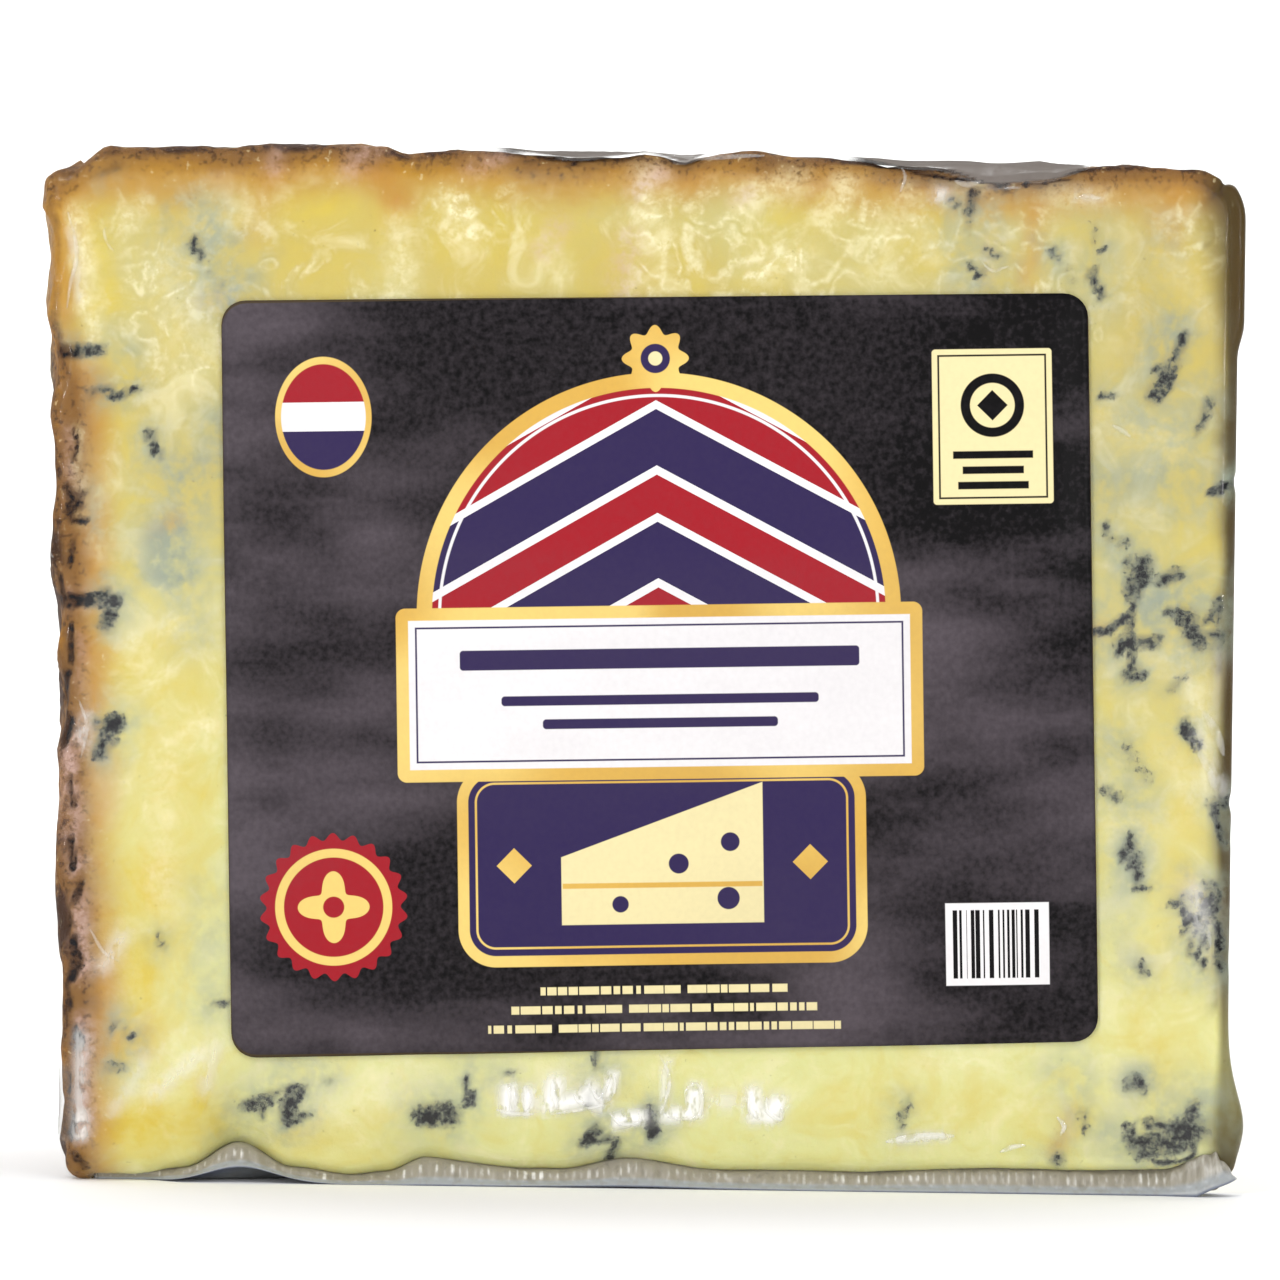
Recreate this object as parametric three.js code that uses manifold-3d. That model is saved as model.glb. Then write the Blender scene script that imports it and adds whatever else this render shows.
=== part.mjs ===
// A wedge cut from a small wheel of blue-veined cheese, shrunk into a clear vacuum bag, with one
// paper label on its front cut face. Millimetres, +Z up. The wedge stands on the ribbed hem of its
// bag: the front cut face looks toward -Y, the wheel's rind is at -X and the tip is at +X.

import * as THREE from "three";
import { mergeVertices } from "three/addons/utils/BufferGeometryUtils.js";
import Module from "manifold-3d";

const { degToRad, lerp, clamp, smoothstep } = THREE.MathUtils;

// The wedge.
const WHEEL_RADIUS = 106;
const WEDGE_ANGLE = degToRad(26);
const PACK_HEIGHT = 88.6;
const EDGE_RADIUS = 2.8; // the bag round the rind and along the cut faces
const TIP_RADIUS = 1.6; // the bag round the tip
const TIP_DROP = { height: 0.3, reach: 4 }; // the bag's top sinks a little at the tip
const TIP_CORNER = 5; // the bag's corner between its top and the tip
const RIND_LEAN = Math.tan(degToRad(1.4)); // the wedge is a little longer at the top

// Relief that shows through the bag: heights of the bumps, how far apart they stand, and where
// their pattern starts.
const TOP_LUMPS = { height: 0.2, size: 15, phase: 0.6 };
const RIND_LUMPS = { height: 0.4, size: 17, phase: 2.3 };
const TOP_CRAGS = { height: 0.175, size: 6.5, phase: 1.9 };
const RIND_CRAGS = { height: 0.35, size: 6.5, phase: 0.4 };
const FRONT_PILLOWS = { height: 0.35, size: 37, phase: 1 };
const BACK_PILLOWS = { height: 0.35, size: 37, phase: 4 };
const SHOULDER = { rind: 0.65, tip: 0.55, bottom: 71.5, top: 74.5 }; // the rim is thicker near the top
const EAR = { height: 1.4, middle: 5.5, spread: 4.6 }; // the film's fold at the foot of the tip

// Rows of bumps wind about: how far they bend, and how their paces compare with the bumps' size.
const ACROSS = { pace: 1, bend: 1.7, bendPace: 0.53 };
const ALONG = { pace: 0.83, bend: 1.4, bendPace: 0.61 };

// How far a normal leans toward a side of the bag before it starts to count as that side, and
// where it counts wholly.
const TOP_SIDE = { from: 0.3, to: 0.95 };
const UNDER_SIDE = { from: 0.2, to: 0.8 };
const RIND_SIDE = { from: 0.3, to: 0.95 };
const TIP_SIDE = { from: 0.5, to: 0.95 };

// Valleys that climb from the hem between the lobes of the cheese: place from the rind, and depth.
const VALLEYS = [
  { at: 15.4, depth: 1.8, width: 2.6 },
  { at: 31, depth: 1.1, width: 2.6 },
  { at: 48.5, depth: 0.8, width: 3.4 },
  { at: 64, depth: 0.5, width: 3.0 },
  { at: 86, depth: 0.6, width: 3.2 },
];
const VALLEY_CLIMB = 9; // height over which a valley fades

// The hem: the bag's gathered rim, fused to it all round the foot.
const HEM_HEIGHT = 2.1;
const HEM_PROUD = 0.15;
const BODY_LIFT = 0.8; // the bag's bottom above the hem's
const RIBS = 72;
const POINTS_PER_RIB = 4;
const RIB_DEPTH = 0.28;

// The label.
const LABEL_WIDTH = 73.8;
const LABEL_HEIGHT = { rindSide: 64.5, tipSide: 63.7 };
const LABEL_CORNER = 2.1;
const LABEL_THICKNESS = 0.3;
const LABEL_GAP = 0.3;
const LABEL_CENTRE = { fromRind: 51.6, up: 44.1 };
const LABEL_TILT = degToRad(1.6);

// How finely the bag and the label are divided, and how many of the rows turn round each edge.
const PACK_GRID = { x: 38, y: 12, z: 32, edgeRows: 2 };
const LABEL_GRID = { x: 20, z: 18, edgeRows: 2 };
const TIP_SWEEP = { flat: 0.7, edges: 0.3 }; // shares of the tip's turn that its rows take
const SAME_PLACE = 1e-4; // points nearer than this are one

// Stand-in colours: cheese under film, and dark paper.
const CHEESE_COLOUR = 0xdccb8c;
const PAPER_COLOUR = 0x2b2826;

// Centres of the rounded vertical edges, measured from the wheel's axis.
const HALF_ANGLE = WEDGE_ANGLE / 2;
const CORE_RADIUS = WHEEL_RADIUS - EDGE_RADIUS;
const CORNER_TURN = Math.asin(EDGE_RADIUS / CORE_RADIUS);
const TIP_CENTRE = aroundAxis(HALF_ANGLE, TIP_RADIUS / Math.sin(HALF_ANGLE));
const FRONT_CENTRE = aroundAxis(CORNER_TURN, CORE_RADIUS);
const BACK_CENTRE = aroundAxis(WEDGE_ANGLE - CORNER_TURN, CORE_RADIUS);
const TIP_END = TIP_CENTRE.x + TIP_RADIUS;

// The wheel's axis in the part's frame, which has its origin under the middle of the pack.
const PACK_DEPTH = BACK_CENTRE.y + EDGE_RADIUS;
const AXIS_X = (WHEEL_RADIUS - TIP_END) / 2;
const AXIS_Y = (LABEL_GAP + LABEL_THICKNESS - PACK_DEPTH) / 2;

// A point at a distance from the wheel's axis, at an angle that grows from the front cut face.
function aroundAxis(angle, distance) {
  return new THREE.Vector2(-Math.cos(angle) * distance, Math.sin(angle) * distance);
}

// One winding row of bumps, between -1 and 1.
function windingRow(main, other, size, phase, { pace, bend, bendPace }) {
  const turns = (2 * Math.PI) / size;
  return Math.sin(pace * turns * main + bend * Math.sin(bendPace * turns * other + phase));
}

// Soft bumps between -1 and 1, `size` apart.
function bumps(u, v, { size, phase }) {
  return (windingRow(u, v, size, phase, ACROSS) + windingRow(v, u, size, 2 * phase, ALONG)) / 2;
}

// Sharp-edged scales between -1 and 1, as broken rind has.
function crags(u, v, { size, phase }) {
  return 1 - 2 * Math.abs(bumps(u, v, { size: 2 * size, phase }));
}

function bell(t) {
  return Math.exp(-t * t);
}

// How far the valleys between the lobes draw a cut face in.
function valleys(fromRind, up) {
  const climb = Math.exp(-up / VALLEY_CLIMB);
  return VALLEYS.reduce((sum, v) => sum + v.depth * bell((fromRind - v.at) / v.width) * climb, 0);
}

// How far a cut face stands out where it is `fromRind` along and `up` from the floor.
function cutRelief(fromRind, up, pillows) {
  return pillows.height * bumps(fromRind, up, pillows) - valleys(fromRind, up);
}

// How wholly a place counts as a side of the bag, from how far its normal leans that way.
function facing(lean, side) {
  return smoothstep(lean, side.from, side.to);
}

// How far the bag stands out at a point on its plain form, where it looks along `normal`.
function relief(point, normal) {
  const { x, y, z } = point;
  const top = facing(normal.z, TOP_SIDE);
  const rind = facing(-normal.x, RIND_SIDE);
  const tip = facing(normal.x, TIP_SIDE);
  const cut = Math.max(0, 1 - top - rind - tip);
  const shoulder = smoothstep(z, SHOULDER.bottom, SHOULDER.top);
  const topForm =
    TOP_LUMPS.height * bumps(x, y, TOP_LUMPS) + TOP_CRAGS.height * crags(x, y, TOP_CRAGS);
  const rindForm =
    RIND_LUMPS.height * bumps(y, z, RIND_LUMPS) +
    RIND_CRAGS.height * crags(y, z, RIND_CRAGS) +
    SHOULDER.rind * shoulder;
  const tipForm = SHOULDER.tip * shoulder + EAR.height * bell((z - EAR.middle) / EAR.spread);
  const cutForm = cutRelief(x + WHEEL_RADIUS, z, normal.y < 0 ? FRONT_PILLOWS : BACK_PILLOWS);
  const form = top * topForm + rind * rindForm + tip * tipForm + cut * cutForm;
  return form * (1 - facing(-normal.z, UNDER_SIDE));
}

// Splits a box coordinate from -1 to 1 into its place on the flat, and its way round the edge.
function split(t, rows, edgeRows) {
  const flat = 1 - (2 * edgeRows) / rows;
  const core = clamp(t, -flat, flat);
  return { core: core / flat, edge: (t - core) / (1 - flat) };
}

// The direction in which the outline's corner looks, `a` toward the tip and `b` toward the back.
function headingAt(a, b, angle) {
  const toCutFace = b.edge < 0 ? new THREE.Vector2(0, -1) : aroundAxis(WEDGE_ANGLE - Math.PI / 2, -1);
  if (a.edge > 0) {
    const round = Math.atan2(b.edge, a.edge) / (Math.PI / 2);
    const swept = TIP_SWEEP.flat * b.core + TIP_SWEEP.edges * round;
    return aroundAxis(HALF_ANGLE - swept * (Math.PI / 2 - HALF_ANGLE), -1);
  }
  const outward = aroundAxis(angle, -a.edge);
  return outward.addScaledVector(toCutFace, Math.abs(b.edge)).normalize();
}

// Carries a point of the unit box's skin to the bag's skin.
function packPoint(x, y, z) {
  const a = split(x, PACK_GRID.x, PACK_GRID.edgeRows);
  const b = split(y, PACK_GRID.y, PACK_GRID.edgeRows);
  const c = split(z, PACK_GRID.z, PACK_GRID.edgeRows);
  const halfRow = 1 / PACK_GRID.x;
  const share = clamp((1 + halfRow - a.core - Math.max(0, a.edge)) / (2 + halfRow), 0, 1);
  const radius = lerp(TIP_RADIUS, EDGE_RADIUS, share);
  const angle = lerp(CORNER_TURN, WEDGE_ANGLE - CORNER_TURN, (b.core + 1) / 2);
  const core = TIP_CENTRE.clone().lerp(aroundAxis(angle, CORE_RADIUS), share);
  const drop = TIP_DROP.height * bell((share * CORE_RADIUS) / TIP_DROP.reach);
  const level = lerp(BODY_LIFT + radius, PACK_HEIGHT - drop - radius, (c.core + 1) / 2);
  const across = Math.max(Math.abs(a.edge), Math.abs(b.edge));
  const heading = headingAt(a, b, angle).multiplyScalar(across);
  const normal = new THREE.Vector3(heading.x, heading.y, c.edge).normalize();
  const point = new THREE.Vector3(core.x, core.y, level).addScaledVector(normal, radius);
  point.addScaledVector(normal, relief(point, normal));
  return stood(withRoundCorner(point), share);
}

// Draws the corner between the top and the tip in, as a square's corner is drawn in to a circle.
function withRoundCorner(point) {
  const middleX = TIP_END + SHOULDER.tip - TIP_CORNER;
  const middleZ = PACK_HEIGHT - TIP_DROP.height - TIP_CORNER;
  const beyond = new THREE.Vector2(point.x - middleX, point.z - middleZ);
  if (Math.min(beyond.x, beyond.y) <= 0) {
    return point;
  }
  beyond.multiplyScalar(Math.max(beyond.x, beyond.y) / beyond.length());
  return new THREE.Vector3(middleX + beyond.x, point.y, middleZ + beyond.y);
}

// Leans the rind's side out toward the top, and moves from the wheel's axis to the part's frame.
function stood(point, share) {
  const lean = share * RIND_LEAN * (point.z - PACK_HEIGHT / 2);
  return new THREE.Vector3(AXIS_X + point.x - lean, AXIS_Y + point.y, point.z);
}

// Moves every vertex of a geometry by `place`, and leaves one vertex where several met.
function reshape(geometry, place) {
  geometry.deleteAttribute("normal");
  geometry.deleteAttribute("uv");
  const position = geometry.getAttribute("position");
  for (let i = 0; i < position.count; i += 1) {
    const moved = place(position.getX(i), position.getY(i), position.getZ(i));
    position.setXYZ(i, moved.x, moved.y, moved.z);
  }
  return mergeVertices(geometry, SAME_PLACE);
}

function bagGeometry() {
  const { x, y, z } = PACK_GRID;
  return reshape(new THREE.BoxGeometry(2, 2, 2, x, y, z), packPoint);
}

// The wedge's plain outline, seen from above, counterclockwise from the rind's front corner.
function wedgeOutline() {
  const backHeading = Math.PI / 2 - WEDGE_ANGLE;
  const backCorner = Math.PI - WEDGE_ANGLE + CORNER_TURN;
  const frontCorner = Math.PI - CORNER_TURN;
  const outline = new THREE.Shape();
  outline.absarc(FRONT_CENTRE.x, FRONT_CENTRE.y, EDGE_RADIUS, frontCorner, 1.5 * Math.PI, false);
  outline.absarc(TIP_CENTRE.x, TIP_CENTRE.y, TIP_RADIUS, -Math.PI / 2, backHeading, false);
  outline.absarc(BACK_CENTRE.x, BACK_CENTRE.y, EDGE_RADIUS, backHeading, backCorner, false);
  outline.absarc(0, 0, WHEEL_RADIUS, backCorner, frontCorner, false);
  return outline;
}

// The hem is a flat slab of the wedge's outline whose rim is gathered in ribs.
function hemGeometry() {
  const count = RIBS * POINTS_PER_RIB;
  const plain = wedgeOutline().getSpacedPoints(count).slice(0, count);
  const ribbed = plain.map((point, i) => {
    const before = plain[(i + count - 1) % count];
    const after = plain[(i + 1) % count];
    const outward = new THREE.Vector2(after.y - before.y, before.x - after.x).normalize();
    const rib = RIB_DEPTH * Math.cos((2 * Math.PI * i) / POINTS_PER_RIB);
    return point.clone().addScaledVector(outward, HEM_PROUD + rib);
  });
  const slab = new THREE.ExtrudeGeometry(new THREE.Shape(ribbed), {
    depth: HEM_HEIGHT,
    bevelEnabled: false,
  });
  const onFoot = (x, y, z) => stood(new THREE.Vector3(x, y, 0), -x / WHEEL_RADIUS).setZ(z);
  return reshape(slab, onFoot);
}

function solidOf(wasm, geometry) {
  const triVerts = new Uint32Array(geometry.index.array);
  const vertProperties = geometry.getAttribute("position").array;
  return new wasm.Manifold(new wasm.Mesh({ numProp: 3, vertProperties, triVerts }));
}

function geometryOf(solid) {
  const { vertProperties, triVerts } = solid.getMesh();
  const geometry = new THREE.BufferGeometry();
  geometry.setAttribute("position", new THREE.BufferAttribute(vertProperties, 3));
  geometry.setIndex(new THREE.BufferAttribute(triVerts, 1));
  geometry.computeVertexNormals();
  return geometry;
}

// The bag with the cheese in it, and its hem, as one closed body.
function vacuumPack(wasm) {
  const whole = solidOf(wasm, bagGeometry()).add(solidOf(wasm, hemGeometry()));
  const finish = new THREE.MeshStandardMaterial({ color: CHEESE_COLOUR, roughness: 0.35 });
  const mesh = new THREE.Mesh(geometryOf(whole), finish);
  mesh.name = "vacuum_pack";
  return mesh;
}

// Carries a point of the unit box's skin to the label, which lies on the bag's front.
function labelPoint(x, y, z) {
  const u = split(x, LABEL_GRID.x, LABEL_GRID.edgeRows);
  const v = split(z, LABEL_GRID.z, LABEL_GRID.edgeRows);
  const height = lerp(LABEL_HEIGHT.rindSide, LABEL_HEIGHT.tipSide, (x + 1) / 2);
  const round = Math.max(Math.abs(u.edge), Math.abs(v.edge)) / (Math.hypot(u.edge, v.edge) || 1);
  const flat = new THREE.Vector2(
    u.core * (LABEL_WIDTH / 2 - LABEL_CORNER) + u.edge * round * LABEL_CORNER,
    v.core * (height / 2 - LABEL_CORNER) + v.edge * round * LABEL_CORNER,
  ).rotateAround(new THREE.Vector2(), LABEL_TILT);
  const fromRind = LABEL_CENTRE.fromRind + flat.x;
  const up = LABEL_CENTRE.up + flat.y;
  const stand = cutRelief(fromRind, up, FRONT_PILLOWS) + LABEL_GAP + (y < 0 ? LABEL_THICKNESS : 0);
  return new THREE.Vector3(AXIS_X - WHEEL_RADIUS + fromRind, AXIS_Y - stand, up);
}

function label() {
  const sheet = reshape(new THREE.BoxGeometry(2, 2, 2, LABEL_GRID.x, 1, LABEL_GRID.z), labelPoint);
  sheet.computeVertexNormals();
  const finish = new THREE.MeshStandardMaterial({ color: PAPER_COLOUR, roughness: 0.4 });
  const mesh = new THREE.Mesh(sheet, finish);
  mesh.name = "label";
  return mesh;
}

const wasm = await Module();
wasm.setup();

const cheeseWedge = new THREE.Group();
cheeseWedge.add(vacuumPack(wasm), label());

export default cheeseWedge;
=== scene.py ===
"""A wedge of blue-veined cheese in a clear vacuum bag, with a paper label on its front cut face."""

import itertools
import math
from types import SimpleNamespace

import bpy
import numpy as np
from bpy.props import FloatProperty, FloatVectorProperty, PointerProperty
from mathutils import Matrix, Vector
from mathutils.bvhtree import BVHTree


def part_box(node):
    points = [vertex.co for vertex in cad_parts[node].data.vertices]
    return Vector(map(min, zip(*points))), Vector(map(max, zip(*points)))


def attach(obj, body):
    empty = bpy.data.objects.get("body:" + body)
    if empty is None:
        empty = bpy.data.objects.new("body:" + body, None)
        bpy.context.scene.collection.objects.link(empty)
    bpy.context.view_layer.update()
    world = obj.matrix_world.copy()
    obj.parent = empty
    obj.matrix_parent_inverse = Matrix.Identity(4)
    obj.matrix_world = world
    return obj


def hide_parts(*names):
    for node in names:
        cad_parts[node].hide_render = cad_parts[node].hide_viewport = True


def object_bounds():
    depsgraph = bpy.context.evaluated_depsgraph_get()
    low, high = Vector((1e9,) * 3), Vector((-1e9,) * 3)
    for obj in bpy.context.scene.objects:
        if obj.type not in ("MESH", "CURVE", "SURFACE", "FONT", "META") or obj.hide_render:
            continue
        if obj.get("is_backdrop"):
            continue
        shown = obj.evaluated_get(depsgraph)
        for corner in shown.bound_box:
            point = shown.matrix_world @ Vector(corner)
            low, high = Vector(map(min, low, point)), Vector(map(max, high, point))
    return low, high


bl_info = {
    "name": "Blue cheese wedge",
    "version": (1, 0, 0),
    "blender": (4, 5, 0),
    "location": "3D View > Sidebar > Cheese",
    "description": "Makes a vacuum-packed wedge of blue cheese, its label and its studio",
    "category": "Add Mesh",
}

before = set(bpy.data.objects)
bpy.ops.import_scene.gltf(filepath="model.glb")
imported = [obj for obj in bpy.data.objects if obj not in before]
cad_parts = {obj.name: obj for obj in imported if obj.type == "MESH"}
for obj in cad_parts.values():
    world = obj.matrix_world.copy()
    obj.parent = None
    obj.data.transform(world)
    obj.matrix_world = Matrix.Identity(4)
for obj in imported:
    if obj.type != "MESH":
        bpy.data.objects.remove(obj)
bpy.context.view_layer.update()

# Forms are worked out in millimetres, with +Z up, the front cut face toward -Y and the rind at -X.
MM = 0.001

# The bag's relief, as it is in the CAD model: heights of bumps and how far apart they stand.
TOP_LUMPS = SimpleNamespace(height=0.2, size=15)
RIND_LUMPS = SimpleNamespace(height=0.4, size=17)
CRAGS = SimpleNamespace(height=0.35, size=6.5)
CUT_PILLOWS = SimpleNamespace(height=0.35, size=37)
SHOULDER = SimpleNamespace(rind=0.65, tip=0.55, bottom=71.5, top=74.5)
EAR = SimpleNamespace(height=1.4, middle=5.5, spread=4.6)
TIP_DROP = SimpleNamespace(height=0.3, reach=4)
TIP_CORNER = 5
RIND_LEAN = math.tan(math.radians(1.4))
BODY_LIFT = 0.8
VALLEYS = [(15.4, 1.8, 2.6), (31, 1.1, 2.6), (48.5, 0.8, 3.4), (64, 0.5, 3.0), (86, 0.6, 3.2)]
VALLEY_CLIMB = 9
FRONT_PHASE, BACK_PHASE = 1, 4

# The foot of the cheese over the table: places from the rind, and heights.
FOOT_LINE = [
    (0, 0.3), (6, 0.3), (10.5, 0.9), (15.2, 3), (20, 1.1), (25, 0.5), (28, 0.8), (31.5, 2), (40, 1.3),
    (43, 1.3), (49, 2.2), (57, 1.4), (68, 1.4), (81, 1.9), (88, 1.8), (95, 2), (99, 3.3), (101.5, 4.4),
]
FOOT_FADE = 5
# On the back cut face the same line runs the other way round, from this place.
FOOT_TURN = 97
# How far the top lies over or under its plain height, in the same terms.
TOP_LINE = [
    (0, -0.3), (9, -0.3), (14, -0.05), (19, 0.25), (24, 0.45), (28, 0.2), (30.6, -0.5), (34, -0.25),
    (39, 0), (44, -0.3), (53, -0.25), (58, 0), (63, -0.5), (68, -0.35), (75, -0.9), (83, -0.7), (90, -0.75),
    (96, -0.5), (101, -0.6),
]
# How far the bag's edges are from round toward square: 2 is round.
EDGE_POWER = 4
FOOT_ROLL = SimpleNamespace(inward=1.3, height=6.5, room=5)

# The bag's gathered hem under the foot: parts of its height from the top, how far out each is, and
# how ribbed. Its lower edge is cut away at the tip.
HEM_PROFILE = [
    (0, -3.4, 0), (0, -2.7, 0), (0.05, -2.1, 0.3), (0.14, -1.7, 0.8), (0.24, -1.45, 1), (0.35, -1.25, 1),
    (0.46, -1.1, 1), (0.57, -1, 1), (0.67, -0.9, 0.7), (0.74, -0.8, 0.3), (0.8, -0.66, 0), (0.86, -0.5, 0),
    (0.92, -0.38, 0), (0.97, -0.34, 0), (1, -0.45, 0), (1, -0.7, 0), (1, -2, 0),
]
# How far apart its ribs are, how many points go round it, and how many draw each of its arcs.
HEM_RIB = 1.35
HEM_POINTS, ARC_POINTS = 1500, 60
HEM_TIP_CUT = SimpleNamespace(start=97.8, climb=0.5)

# Stretches of the top where the bag bridges a hollow in the rind: place, depth and half width.
TOP_HOLLOWS = [(44.5, 0.4, 5.5), (53.6, 0.5, 1.4), (72, 0.3, 4), (79.8, 0.95, 3.4), (84.4, 0.6, 2.6)]
# A flake has come off the top corner at the rind.
FLAKE = SimpleNamespace(depth=2.5, start=1.0, end=5.4, across=30)

# Where the front edge of the rind is drawn in: heights, depths and half widths.
RIND_DIPS = [(7, 0.5, 5), (69.4, 0.45, 2.4)]

# A flap of film stands out at the foot of the rind.
FLAP = SimpleNamespace(reach=0.22, low=3.0, high=10.6)

# How finely a fold of the film is drawn, how many there are away from the front, and how their
# lines are drawn at random: steps, bend, width and height.
RIDGE_STEP, RIDGE_SIDES = 0.25, 8
FAR_FOLDS = SimpleNamespace(
    count=80, seed=31, step=0.5, steps=(8, 40), bend=0.1, widths=(0.5, 0.9), heights=(0.1, 0.18)
)

# How finely the bag and the cheese are divided, and how many of the rows turn round each edge.
SKIN_COUNTS = (180, 54, 155)
SKIN_EDGE_ROWS = 8
FILM_GAP = 0.12
LABEL_COUNTS, LABEL_EDGE_ROWS = (110, 1, 96), (4, 0, 4)

# Seeds of the noise on each piece.
CHEESE_SEED, FILM_SEED, HEM_SEED, LABEL_SEED = 11, 23, 41, 53

# Veins of mould and soft clouds behind the front, drawn at random: how many, widths and lengths.
BACK_VEINS = SimpleNamespace(count=300, seed=5, widths=(0.4, 1.1), lengths=(2, 8))
BACK_CLOUDS = SimpleNamespace(count=26, seed=8, widths=(3, 5), lengths=(4, 14))
# A streak of mould is slimmer than its mark, and has a haze round it, wider and weaker.
MOULD_SLIMNESS = 0.62
HALO = SimpleNamespace(wider=1.4, strength=0.75)
BACK_HALO = SimpleNamespace(wider=1.5, strength=0.6)
# Patches of colour away from the front: how large, how strong, and whether most are near the rind.
FAR_PATCHES = {
    "orange": (14, 0.5, True),
    "gold": (17, 0.6, False),
    "pale_and_film_sheen": (6, 0.4, False),
    "lilac_fat_and_sheen": (11, 0.4, True),
}

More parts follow.
